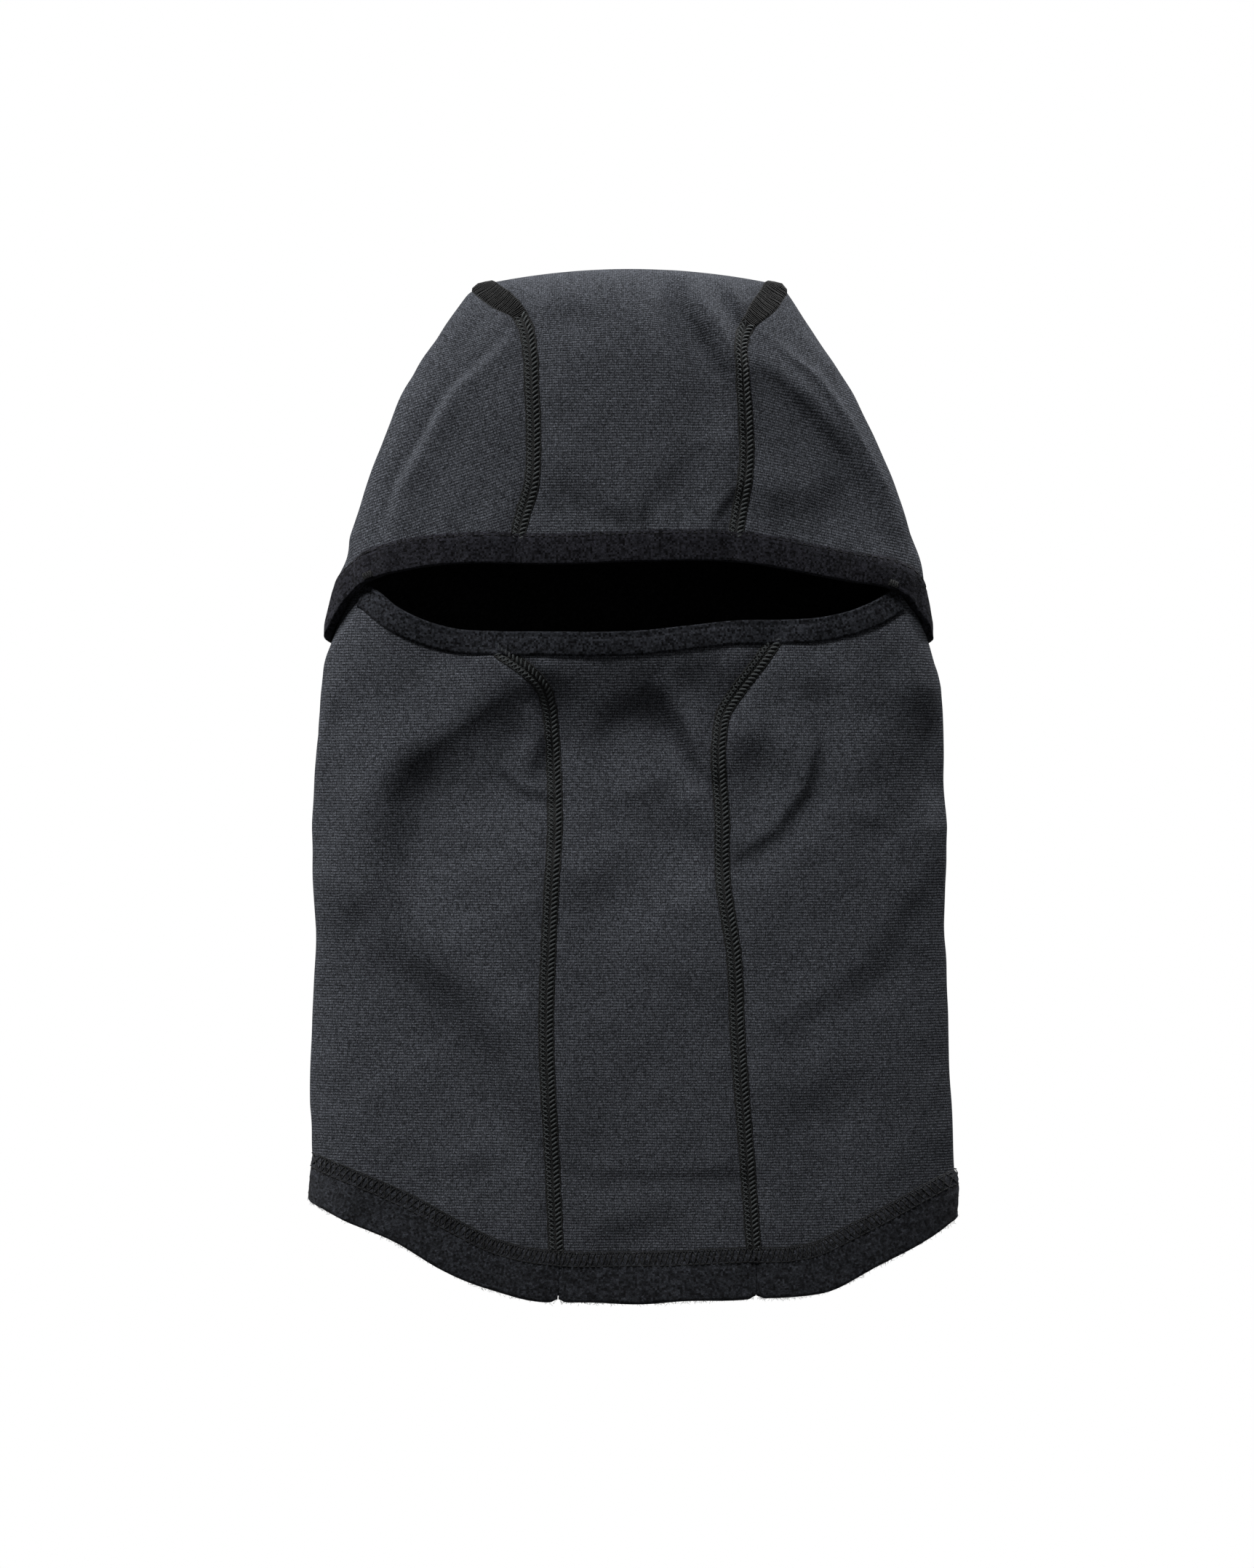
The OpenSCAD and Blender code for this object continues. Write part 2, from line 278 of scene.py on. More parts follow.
def along_line(s, z, points):
    """Distance to a line of (s, z) points, positive on its left as it runs, and the taper along it."""
    points = np.array(points, float)
    lengths = np.linalg.norm(np.diff(points, axis=0), axis=1)
    total, done = lengths.sum(), 0.0
    best, side_of, along = np.full(s.shape, 1e9), np.zeros(s.shape), np.zeros(s.shape)
    for (a, b), length in zip(zip(points[:-1], points[1:]), lengths):
        way = (b - a) / length
        ds, dz = s - a[0], z - a[1]
        t = np.clip(ds * way[0] + dz * way[1], 0, length)
        off_s, off_z = ds - t * way[0], dz - t * way[1]
        dist = np.hypot(off_s, off_z)
        near = dist < best
        best = np.where(near, dist, best)
        side_of = np.where(near, np.sign(way[0] * off_z - way[1] * off_s), side_of)
        along = np.where(near, (done + t) / total, along)
        done += length
    return side_of * best, clamp(np.sin(math.pi * along)) ** 0.7


def eased(relief, size):
    """The relief with everything smaller than the size smoothed away."""
    reach = int(3 * size)
    weights = np.exp(-0.5 * (np.arange(-reach, reach + 1) / size) ** 2)
    weights /= weights.sum()
    for axis in (0, 1):
        around = [(reach, reach) if k == axis else (0, 0) for k in (0, 1)]
        wide = np.pad(relief, around, mode="edge")
        relief = sum(w * (wide[k:k + relief.shape[0]] if axis == 0 else wide[:, k:k + relief.shape[1]])
                     for k, w in enumerate(weights))
    return relief


def ridge(s, z, points, height, width):
    """A ridge along a line, or a valley if height is negative."""
    d, taper = along_line(s, z, points)
    return height * taper ** 1.6 * np.exp(-(d / width) ** 2)


def step(s, z, points, tilt, left, right):
    """A place where the fabric tips over: a bulge on the line's left, as it runs, and a hollow on its right.

    tilt is the slope on the line; left and right are how far the bulge and the hollow reach.
    """
    d, taper = along_line(s, z, points)
    reach = np.where(d > 0, left, right)
    q = d / reach
    return tilt * taper * reach * np.tanh(q) * np.exp(-(q / 3.2) ** 2)


def ripples(s, z, size, count=14):
    """A gentle uneven swell with waves of about the given length, between -1 and 1."""
    total = np.zeros(s.shape)
    for _ in range(count):
        angle, phase = RNG.uniform(0, 2 * math.pi, 2)
        k = 2 * math.pi / (size * RNG.uniform(0.7, 1.5))
        total += np.sin(k * (s * math.cos(angle) + z * math.sin(angle)) + phase)
    return total / math.sqrt(count) / 1.6


# Ridges as (line of places, height, width), and steps as (line of places, tilt, reach left, reach right).
# A place is the arc length from the front and the height. The front ones are those of a garment laid flat.
HOOD_RIDGES = [
    ([(-108, 344), (-104, 350), (-94, 372), (-80, 392)], 1.6, 9.0),
    ([(-84, 370), (-78, 386), (-70, 400), (-61, 410)], 3.2, 8.0),
    ([(50, 393), (62, 381), (73, 371), (86, 353), (97, 335), (110, 314)], 1.8, 2.2),
    ([(64, 396), (76, 384), (84, 368)], 0.6, 2.4),
    ([(32, 411), (38, 407), (42, 400), (43, 391)], 2.4, 3.2),
    ([(8, 302), (6, 318)], -1.1, 1.2),
    ([(21, 302), (19, 319)], -1.1, 1.2),
    ([(30, 304), (36, 314), (46, 327)], -0.9, 2.0),
    ([(14, 302), (13, 318)], 0.7, 2.4),
    ([(-63, 302), (-66, 318)], -0.9, 1.8),
    ([(-118, 306), (-118, 290)], -1.6, 8.0),
    ([(118, 308), (118, 284)], 1.4, 8.0),
]
HOOD_STEPS = [
    ([(-98, 302), (-94, 325), (-86, 339), (-79, 352), (-69, 367), (-58, 377), (-46, 389)], -1.1, 1.6, 2.4),
    ([(46, 378), (58, 369), (72, 356), (88, 338), (102, 317), (111, 300)], 0.80, 3.0, 6.0),
    ([(48, 376), (58, 369), (72, 356), (88, 338), (102, 317)], 0.60, 1.2, 2.0),
    ([(12, 416), (24, 396), (32, 384), (38, 370), (41, 345)], 1.60, 3.0, 4.0),
    ([(-38, 393), (-26, 396), (-12, 393)], 0.20, 4.0, 4.0),
    ([(-42, 323), (-26, 325), (-12, 319), (-4, 314)], 0.24, 4.0, 7.0),
    ([(2, 308), (10, 322), (16, 332), (28, 344)], 0.28, 5.0, 7.0),
    ([(44, 316), (60, 319), (74, 321), (90, 332)], 0.28, 5.0, 7.0),
    ([(-16, 312), (-6, 314), (6, 311)], 0.20, 3.0, 3.0),
    ([(30, 300), (36, 314), (48, 329)], 0.50, 2.0, 4.0),
]
GAITER_RIDGES = [
    ([(-40, 242), (-37, 227), (-42, 209)], 3.8, 5.0),
    ([(-9, 240), (-9, 208), (-11, 182)], -1.4, 8.0),
    ([(60, 238), (61, 216), (53, 196)], 1.2, 6.0),
    ([(-113, 258), (-110, 225), (-108, 190)], 1.4, 12.0),
    ([(-70, 205), (-66, 180), (-60, 155)], 1.0, 14.0),
    ([(90, 235), (98, 207)], 1.0, 14.0),
]
GAITER_STEPS = [
    ([(-84, 144), (-95, 172), (-94, 198), (-89, 214), (-77, 223), (-60, 234), (-48, 243), (-36, 248),
      (-16, 250)],
     0.50, 5.0, 16.0),
    ([(-86, 162), (-93, 184), (-93, 202), (-86, 216), (-76, 224)], 0.55, 6.0, 6.0),
    ([(-94, 200), (-88, 213), (-76, 223), (-60, 234), (-48, 243), (-38, 247)], 0.20, 1.5, 2.5),
    ([(-54, 216), (-44, 206), (-28, 201)], 0.70, 1.5, 3.0),
    ([(-66, 236), (-44, 243), (-22, 248), (0, 249), (25, 249), (62, 248)], 0.48, 13.0, 22.0),
    ([(-20, 220), (-11, 233), (-3, 241), (9, 243)], 0.22, 4.0, 6.0),
    ([(8, 248), (14, 241), (19, 232), (24, 221), (31, 207)], 1.40, 3.0, 4.0),
    ([(12, 212), (36, 212), (66, 214)], 0.26, 10.0, 12.0),
    ([(8, 252), (26, 254), (48, 251)], 0.22, 5.0, 8.0),
    ([(36, 221), (47, 222), (60, 228)], 0.40, 6.0, 8.0),
    ([(58, 238), (68, 246), (84, 250)], 0.20, 5.0, 8.0),
    ([(-34, 168), (-15, 170), (6, 178)], 0.24, 6.0, 10.0),
    ([(18, 212), (28, 190), (39, 172)], 0.60, 6.0, 9.0),
    ([(38, 176), (58, 189), (70, 206), (74, 222), (72, 236), (65, 245)], 0.72, 2.0, 4.0),
    ([(80, 199), (94, 193), (108, 190)], 0.22, 2.0, 3.0),
    ([(-128, 168), (-108, 156), (-93, 141), (-75, 132), (-62, 119), (-53, 104), (-43, 83),
      (-33, 60)], 0.38, 7.0, 10.0),
    ([(-70, 134), (-57, 112), (-46, 86), (-34, 58)], 0.30, 6.0, 10.0),
    ([(46, 108), (63, 115), (83, 127), (98, 141), (108, 156), (126, 179)], 0.28, 3.0, 6.0),
    ([(54, 73), (74, 86), (96, 101)], 0.22, 6.0, 8.0),
    ([(-33, 60), (-14, 55), (10, 54), (35, 55), (63, 54)], 0.26, 2.0, 3.0),
    ([(-72, 56), (-42, 61)], 0.26, 3.0, 6.0),
    ([(-20, 27), (1, 35), (24, 41)], 0.22, 4.0, 6.0),
    ([(0, 140), (16, 131), (34, 119)], 0.16, 4.0, 4.0),
]

# At the sides the front layer lies in front of a sliver of the back layer.
SIDE_RIDGES = [
    ([(-116, 296), (-122, 234)], 1.6, 13.0),
    ([(116, 296), (122, 234)], 0.4, 13.0),
    ([(-134, 80), (-137, 10)], -2.6, 15.0),
    ([(122, 246), (123, 230), (125, 190)], -4.0, 12.0),
    ([(-120, 268), (-120, 245), (-125, 224), (-128, 190)], 1.0, 3.4),
    ([(-129, 266), (-129, 245), (-133, 220), (-135, 190)], -1.6, 3.4),
    ([(-139, 262), (-141, 235), (-143, 195), (-144, 150)], 3.0, 9.0),
    ([(112, 276), (113, 262), (115, 236)], 0.8, 3.0),
    ([(123, 276), (125, 262), (128, 240), (130, 215)], -1.0, 4.0),
    ([(137, 262), (139, 235), (142, 195)], 3.0, 9.0),
]
BACK_HOOD_RIDGES = [
    ([(190, 372), (205, 350), (214, 320)], 1.6, 8.0),
    ([(-190, 372), (-205, 350), (-214, 320)], 1.4, 8.0),
    ([(-232, 340), (-240, 300), (-236, 270)], 1.2, 12.0),
]
BACK_HOOD_STEPS = [
    ([(-205, 262), (-190, 282), (-172, 300)], 0.34, 6.0, 10.0),
    ([(228, 274), (246, 262), (262, 270)], 0.30, 5.0, 10.0),
    ([(176, 296), (190, 284), (205, 262)], 0.34, 6.0, 10.0),
    ([(232, 352), (246, 344), (262, 350)], 0.22, 6.0, 10.0),
]
BACK_GAITER_STEPS = [
    ([(180, 202), (205, 172), (235, 152), (262, 147)], 0.36, 9.0, 14.0),
    ([(188, 112), (215, 104), (248, 96)], 0.28, 8.0, 14.0),
    ([(-236, 158), (-204, 178), (-176, 205)], 0.34, 8.0, 14.0),
    ([(-242, 90), (-212, 106), (-182, 132)], 0.28, 8.0, 14.0),
    ([(238, 222), (262, 208), (286, 212)], 0.28, 5.0, 10.0),
    ([(-250, 60), (-225, 52), (-196, 58)], 0.20, 5.0, 8.0),
]


# A seam's dent, and the soft welts on both sides of it
DENT, DENT_HALF, WELT_SHARE, WELT_OUT, WELT_HALF = 0.9, 4.5, 0.35, 11.0, 7.0
GRID_COLUMNS = 531
# Gathers where the elastic brow binding draws the hood in
GATHER, GATHER_H = 0.45, 11.0
# How far from the middle of the back the relief fades, so that the round closes without a step
BACK_JOIN = 34.0


def seam_dents(s, z, side, line):
    """The panels puff up a little on both sides of a seam and the seam lies in a shallow dent."""
    d = s - side * line(z)
    dent = -DENT * np.exp(-(d / DENT_HALF) ** 2)
    welts = WELT_SHARE * DENT * np.exp(-((np.abs(d) - WELT_OUT) / WELT_HALF) ** 2)
    return (dent + welts) * smooth((SIDE_ARC - np.abs(s)) / 20)


def relief_grid(kind, z_low, z_high):
    """Relief on a grid of arc length and height."""
    hood = kind == "hood"
    arcs = np.linspace(-HALF_ROUND, HALF_ROUND, GRID_COLUMNS)
    heights = np.arange(z_low, z_high + 0.5, 1.0)
    s, z = np.meshgrid(arcs, heights)
    s = s * (hood_half(z) if hood else gaiter_half(z)) / MEAN_HALF
    sharp, soft = 0 * s, 0 * s
    for fold in HOOD_RIDGES + BACK_HOOD_RIDGES if hood else GAITER_RIDGES + SIDE_RIDGES:
        sharp += ridge(s, z, *fold)
    for fold in HOOD_STEPS + BACK_HOOD_STEPS if hood else GAITER_STEPS + BACK_GAITER_STEPS:
        if fold[-1] < SOFT_REACH:
            sharp += step(s, z, *fold)
        else:
            soft += step(s, z, *fold)
    relief = eased(soft, SOFT_EASE) + eased(sharp, SHARP_EASE)
    relief = relief + 0.55 * ripples(s, z, 48) + 0.28 * ripples(s, z, 21)
    above_edge = z - hood_edge(phi_of(np.broadcast_to(arcs, z.shape)))
    if hood:
        above = above_edge - BROW_TAPE_W
        gathers = np.sin(s * 0.55 + 1.3 * np.sin(s * 0.11)) * np.sin(s * 0.083 + 1)
        relief += GATHER * gathers * np.exp(-(np.maximum(above + 4, 0) / GATHER_H) ** 2)
    for side, _ in SIDES:
        relief += seam_dents(s, z, side, (SEAM_CROWN if hood else SEAM_FRONT)[side])
    if hood:
        relief *= smooth((GARMENT_H - z) / 4)
    else:
        # the part lapped inside the hood lies quiet
        inside = smooth((above_edge + 14) / 12) * smooth((np.abs(s) - 96) / 16)
        relief = mix(relief, -0.5 + 0 * relief, inside)
    return arcs, heights, relief * smooth((HALF_ROUND - np.abs(arcs)) / BACK_JOIN)


RELIEF = {"hood": relief_grid("hood", 226, GARMENT_H), "gaiter": relief_grid("gaiter", 0, 330)}


def relief_at(kind, phi, v):
    z, turn = hood_rise(v) if kind == "hood" else (v, 1.0)
    phi = np.where(turn < 0, math.pi - phi, phi)
    arcs, heights, grid = RELIEF[kind]
    s = arc_of(phi)
    s = s - 2 * HALF_ROUND * np.round(s / (2 * HALF_ROUND))
    i = np.clip((s - arcs[0]) / (arcs[1] - arcs[0]), 0, len(arcs) - 1.001)
    j = np.clip((z - heights[0]) / (heights[1] - heights[0]), 0, len(heights) - 1.001)
    i0, j0 = i.astype(int), j.astype(int)
    a, b = i - i0, j - j0
    return ((grid[j0, i0] * (1 - a) + grid[j0, i0 + 1] * a) * (1 - b)
            + (grid[j0 + 1, i0] * (1 - a) + grid[j0 + 1, i0 + 1] * a) * b)


BASE = {"hood": hood_base, "gaiter": gaiter_base}
# How far to each side the slope of the fabric is measured
PROBE = 0.8


def base_normal(kind, phi, v):
    base = BASE[kind]
    across = base(phi + 0.006, v) - base(phi - 0.006, v)
    up = base(phi, v + 0.4) - base(phi, v - 0.4)
    return unit(np.cross(across, up))


def surface(kind, phi, v):
    """Points of the fabric's outer face, with its folds."""
    phi, v = np.broadcast_arrays(np.asarray(phi, float), np.asarray(v, float))
    return BASE[kind](phi, v) + base_normal(kind, phi, v) * relief_at(kind, phi, v)[..., None]


def tangents(kind, phi, v):
    """How the fabric's outer face moves per radian of phi and per step of v."""
    d_phi = PROBE / arc_per_phi(phi)
    across = (surface(kind, phi + d_phi, v) - surface(kind, phi - d_phi, v)) / (2 * d_phi)[..., None]
    up = (surface(kind, phi, v + PROBE) - surface(kind, phi, v - PROBE)) / (2 * PROBE)
    return across, up


class Line:
    """A line on the fabric, and the strip of fabric along it, from left to right of it.

    Along it, at() takes the distance from its start, how far to its right as seen from outside with the line
    running up, and the height above the fabric, all in millimetres. The strip is walked outwards from the
    line, square to it and flat on the fabric.
    """

    STEP = 1.0

    def __init__(self, kind, phi, v, left=-4.0, right=4.0):
        path = surface(kind, phi, v)
        run = run_along(path)
        self.length = run[-1]
        along = np.linspace(0, self.length, max(3, int(self.length / self.STEP) + 1))
        phi, v = np.interp(along, run, phi), np.interp(along, run, v)
        self.along, self.left, self.phi = along, left, phi
        self.count = int(math.ceil((right - left) / self.STEP)) + 1
        self.gap = (right - left) / (self.count - 1)
        reach = left + self.gap * np.arange(self.count)
        middle = int(np.argmin(np.abs(reach)))
        grid = np.zeros((len(along), self.count, 2))
        forward = unit(np.gradient(surface(kind, phi, v), axis=0))
        for order in (range(middle, self.count), range(middle - 1, -1, -1)):
            p, q, at, side = phi.copy(), v.copy(), 0.0, None
            for k in order:
                step = (reach[k] - at) / 2
                for _ in range(2):
                    a, b = tangents(kind, p, q)
                    normal = unit(np.cross(a, b))
                    if side is None:
                        side = unit(np.cross(forward, normal))
                    side = unit(side - normal * (side * normal).sum(-1, keepdims=True))
                    aa, bb, ab = (a * a).sum(-1), (b * b).sum(-1), (a * b).sum(-1)
                    sa, sb = (side * a).sum(-1), (side * b).sum(-1)
                    det = aa * bb - ab * ab
                    p = p + step * (sa * bb - sb * ab) / det
                    q = q + step * (sb * aa - sa * ab) / det
                at = reach[k]
                grid[:, k, 0], grid[:, k, 1] = p, q
        a, b = tangents(kind, grid[..., 0], grid[..., 1])
        self.points = surface(kind, grid[..., 0], grid[..., 1])
        self.normals = unit(np.cross(a, b))

    def at(self, along, right=0.0, out=0.0):
        along, right, out = np.broadcast_arrays(np.asarray(along, float), right, out)
        i = np.clip(along / self.length * (len(self.along) - 1), 0, len(self.along) - 1.001)
        j = np.clip((right - self.left) / self.gap, 0, self.count - 1.001)
        i0, j0 = i.astype(int), j.astype(int)
        a, b = (i - i0)[..., None], (j - j0)[..., None]
        found = [(g[i0, j0] * (1 - b) + g[i0, j0 + 1] * b) * (1 - a)
                 + (g[i0 + 1, j0] * (1 - b) + g[i0 + 1, j0 + 1] * b) * a for g in (self.points, self.normals)]
        return found[0] + unit(found[1]) * out[..., None]


# ---------------------------------------------------------------- meshes

def grid_faces(rows, cols, flip=False, wrap=False, loop=False):
    """Quads over a grid of vertices. wrap joins the last column to the first, and loop the last row."""
    r = np.arange(rows if loop else rows - 1)[:, None]
    c = np.arange(cols if wrap else cols - 1)[None, :]
    r_next, c_next = (r + 1) % rows, (c + 1) % cols
    corners = (r * cols + c, r * cols + c_next, r_next * cols + c_next, r_next * cols + c)
    quads = np.stack(np.broadcast_arrays(*corners), -1).reshape(-1, 4)
    return quads[:, ::-1] if flip else quads


def new_object(name, parts, materials, body=None, replaces=()):
    """A smooth-shaded object from parts, each with verts and uv in millimetres, quads, normals and slots."""
    verts = np.concatenate([p["verts"] for p in parts])
    starts = np.cumsum([0] + [len(p["verts"]) for p in parts[:-1]])
    faces = np.concatenate([p["faces"] + start for p, start in zip(parts, starts)]).astype(np.int32)
    slots = np.concatenate([np.broadcast_to(p.get("slots", 0), len(p["faces"])) for p in parts])
    uv = np.concatenate([p.get("uv", p["verts"][:, [0, 2]]) for p in parts])
    mesh = bpy.data.meshes.new(name)
    mesh.vertices.add(len(verts))
    mesh.vertices.foreach_set("co", (verts * MM).astype(np.float32).ravel())
    mesh.loops.add(faces.size)
    mesh.loops.foreach_set("vertex_index", faces.ravel())
    mesh.polygons.add(len(faces))
    mesh.polygons.foreach_set("loop_start", np.arange(0, faces.size, 4, dtype=np.int32))
    mesh.polygons.foreach_set("use_smooth", np.ones(len(faces), bool))
    mesh.polygons.foreach_set("material_index", slots.astype(np.int32))
    layer = mesh.uv_layers.new(name="cloth")
    layer.data.foreach_set("uv", (uv[faces.ravel()] * MM).astype(np.float32).ravel())
    mesh.update(calc_edges=True)
    for m in materials:
        mesh.materials.append(m)
    if all("normals" in p for p in parts):
        mesh.normals_split_custom_set_from_vertices(np.concatenate([p["normals"] for p in parts]).tolist())
    obj = bpy.data.objects.new(name, mesh)
    bpy.context.scene.collection.objects.link(obj)
    if body:
        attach(obj, body)
    if replaces:
        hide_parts(*replaces)
    return obj


def sheet(points, normals, uv, thick):
    """A closed sheet of fabric from its outer face, a grid that runs up and to the wearer's left."""
    rows, cols = points.shape[:2]
    n = rows * cols
    inner = points - normals * np.broadcast_to(thick, points.shape[:2])[..., None]
    faces = [grid_faces(rows, cols), grid_faces(rows, cols, flip=True) + n]
    slots = [np.zeros(len(faces[0])), np.ones(len(faces[1]))]
    index = np.arange(n).reshape(rows, cols)
    for edge in (index[0], index[-1][::-1], index[:, 0][::-1], index[:, -1]):
        a, b = edge[:-1], edge[1:]
        faces.append(np.stack([b, a, a + n, b + n], -1))
        slots.append(np.ones(len(a)))
    return {
        "verts": np.concatenate([points.reshape(-1, 3), inner.reshape(-1, 3)]),
        "faces": np.concatenate(faces),
        "slots": np.concatenate(slots),
        "uv": np.concatenate([uv.reshape(-1, 2)] * 2),
        "normals": np.concatenate([normals.reshape(-1, 3), -normals.reshape(-1, 3)]),
    }


def band(line, outer, inner, along, loop=False, right=0.0, out=0.0):
    """A closed strip along a line. outer and inner are its two skins, as matching (right, out) pairs.

    right and out move the profile's points, as one value for all or an array of (places, points).
    """
    profile = np.concatenate([outer, inner[::-1]]).astype(float)
    x, y = profile.T
    turns_left = 0.5 * (x * np.roll(y, -1) - np.roll(x, -1) * y).sum() > 0
    rows, cols = len(along), len(profile)
    right, out = np.broadcast_to(x + right, (rows, cols)), np.broadcast_to(y + out, (rows, cols))
    along = np.asarray(along)[:, None]
    points, ahead, behind = (line.at(along + off, right, out) for off in (0, 0.7, -0.7))
    around = np.roll(points, -1, axis=1) - np.roll(points, 1, axis=1)
    normals = unit(np.cross(ahead - behind, around)) * (1 if turns_left else -1)
    faces = [grid_faces(rows, cols, flip=turns_left, wrap=True, loop=loop)]
    if not loop:
        k = np.arange(len(outer) - 1)
        cap = np.stack([k, k + 1, cols - 2 - k, cols - 1 - k], -1)
        first, last = (cap, cap[:, ::-1]) if turns_left else (cap[:, ::-1], cap)
        faces += [first, last + (rows - 1) * cols]
    uv = np.stack(np.broadcast_arrays(along, run_along(profile)[None]), -1)
    return {"verts": points.reshape(-1, 3), "faces": np.concatenate(faces), "uv": uv.reshape(-1, 2),
            "normals": normals.reshape(-1, 3)}


def tubes(paths, radius, sides=6, tip=0.4):
    """Threads or fibres: paths as (threads, points, 3), each a closed tube that narrows at both ends."""
    paths = np.asarray(paths, float)
    count, n = paths.shape[:2]
    way = unit(np.gradient(paths, axis=1))
    helper = np.where(np.abs(way[..., 1:2]) < 0.8, [0.0, 1.0, 0.0], [1.0, 0.0, 0.0])
    a = unit(np.cross(way, helper))
    b = np.cross(way, a)
    angle = np.arange(sides) * 2 * math.pi / sides
    thick = np.broadcast_to(radius, (count, n)).copy()
    thick[:, [0, -1]] *= tip
    ring = (a[:, :, None] * np.cos(angle)[:, None] + b[:, :, None] * np.sin(angle)[:, None])
    verts = paths[:, :, None] + thick[:, :, None, None] * ring
    skin = grid_faces(n, sides, wrap=True)
    caps = np.array([[0, 3, 2, 1]] if sides == 4 else [[0, 3, 2, 1], [0, 5, 4, 3]])
    one = np.concatenate([skin, caps, caps[:, ::-1] + (n - 1) * sides])
    faces = (one[None] + (np.arange(count) * n * sides)[:, None, None]).reshape(-1, 4)
    return {"verts": verts.reshape(-1, 3), "faces": faces, "normals": ring.reshape(-1, 3)}


# ---------------------------------------------------------------- materials

# One stitch of the jersey, in metres
WALE, COURSE = 0.00088, 0.00108


class Look:
    """A material built from nodes. Lengths in its patterns are in metres, as on the fabric."""

    def __init__(self, name):
        self.material = bpy.data.materials.new(name)
        self.material.use_nodes = True
        self.tree = self.material.node_tree
        self.tree.nodes.clear()

    def node(self, kind, inputs=None, **settings):
        made = self.tree.nodes.new("ShaderNode" + kind)
        for key, value in settings.items():
            setattr(made, key, value)
        for key, value in (inputs or {}).items():
            self.put(made.inputs[key], value)
        return made

    def put(self, socket, value):
        if hasattr(value, "is_output"):
            self.tree.links.new(value, socket)
        else:
            socket.default_value = value

    def math(self, operation, a, b=0.0, c=0.0):
        made = self.node("Math", operation=operation)
        for socket, value in zip(made.inputs, (a, b, c)):
            self.put(socket, value)
        return made.outputs[0]

    def times(self, *values):
        product = values[0]
        for value in values[1:]:
            product = self.math("MULTIPLY", product, value)
        return product

    def wave(self, value, pitch):
        """A sine with one wave in every pitch."""
        return self.math("SINE", self.math("MULTIPLY", value, 2 * math.pi / pitch))

    def noise(self, where, size, detail=2.0, rough=0.5):
        made = self.node("TexNoise", {"Vector": where, "Scale": 1 / size, "Detail": detail,
                                      "Roughness": rough})
        return made.outputs["Fac"]

    def cells(self, u, v):
        """A value from 0 to 1 for every whole step of u and v."""
        cell = self.node("CombineXYZ", {"X": self.math("FLOOR", u), "Y": self.math("FLOOR", v)})
        return self.node("TexWhiteNoise", {"Vector": cell.outputs[0]}, noise_dimensions="3D").outputs["Value"]

    def speckle(self, u, v, size, low, high):
        """A factor from low to high for every little square of the fabric."""
        value = self.cells(self.math("DIVIDE", u, size), self.math("DIVIDE", v, size))
        return self.ramp(value, 0, 1, low, high)

    def ramp(self, value, low, high, out_low, out_high):
        made = self.node("MapRange", {"Value": value, "From Min": low, "From Max": high,
                                      "To Min": out_low, "To Max": out_high})
        return made.outputs[0]

    def vary(self, noise, low, high):
        """A factor from low to high, over the range in which most of a noise lies."""
        return self.ramp(noise, 0.3, 0.7, low, high)

    def tint(self, colour, value):
        """The colour times a value."""
        made = self.node("VectorMath", operation="SCALE")
        made.inputs[0].default_value = colour
        self.put(made.inputs["Scale"], value)
        return made.outputs[0]

    def cloth_uv(self, turn=0.0):
        where = self.node("UVMap", uv_map="cloth").outputs[0]
        turned_uv = self.node("Mapping", {"Vector": where, "Rotation": (0, 0, turn)})
        split = self.node("SeparateXYZ", {"Vector": turned_uv.outputs[0]})
        return turned_uv.outputs[0], split.outputs[0], split.outputs[1]

    def space(self):
        return self.node("TexCoord").outputs["Object"]

    def finish(self, colour, rough, height, depth, sheen, sheen_tint, sheen_rough, specular):
        bump = self.node("Bump", {"Height": height, "Distance": depth, "Strength": 1.0})
        shader = self.node("BsdfPrincipled", {
            "Base Color": colour, "Roughness": rough, "Normal": bump.outputs[0], "Sheen Weight": sheen,
            "Sheen Roughness": sheen_rough, "Sheen Tint": (*sheen_tint, 1), "Specular IOR Level": specular})
        self.node("OutputMaterial", {"Surface": shader.outputs[0]})
        return self.material


def knit_pattern(look, u, v, space):
    """Rows of small V-shaped loops, a little uneven: their height, 0 to 1, and the loop's column and row."""
    wander = look.noise(space, 0.004, 3)
    column = look.math("MULTIPLY_ADD", wander, 0.9, look.math("DIVIDE", u, WALE))
    row = look.math("MULTIPLY_ADD", wander, 0.8, look.math("DIVIDE", v, COURSE))
    across = look.math("ABSOLUTE", look.math("SUBTRACT", look.math("FRACT", column), 0.5))
    rib = look.math("COSINE", look.math("MULTIPLY", across, 2 * math.pi))
    loops = look.wave(look.math("MULTIPLY_ADD", across, 0.3, row), 1)
    height = look.math("MULTIPLY_ADD", rib, -0.12, 0.5)
    return look.math("MULTIPLY_ADD", loops, 0.33, height), column, row


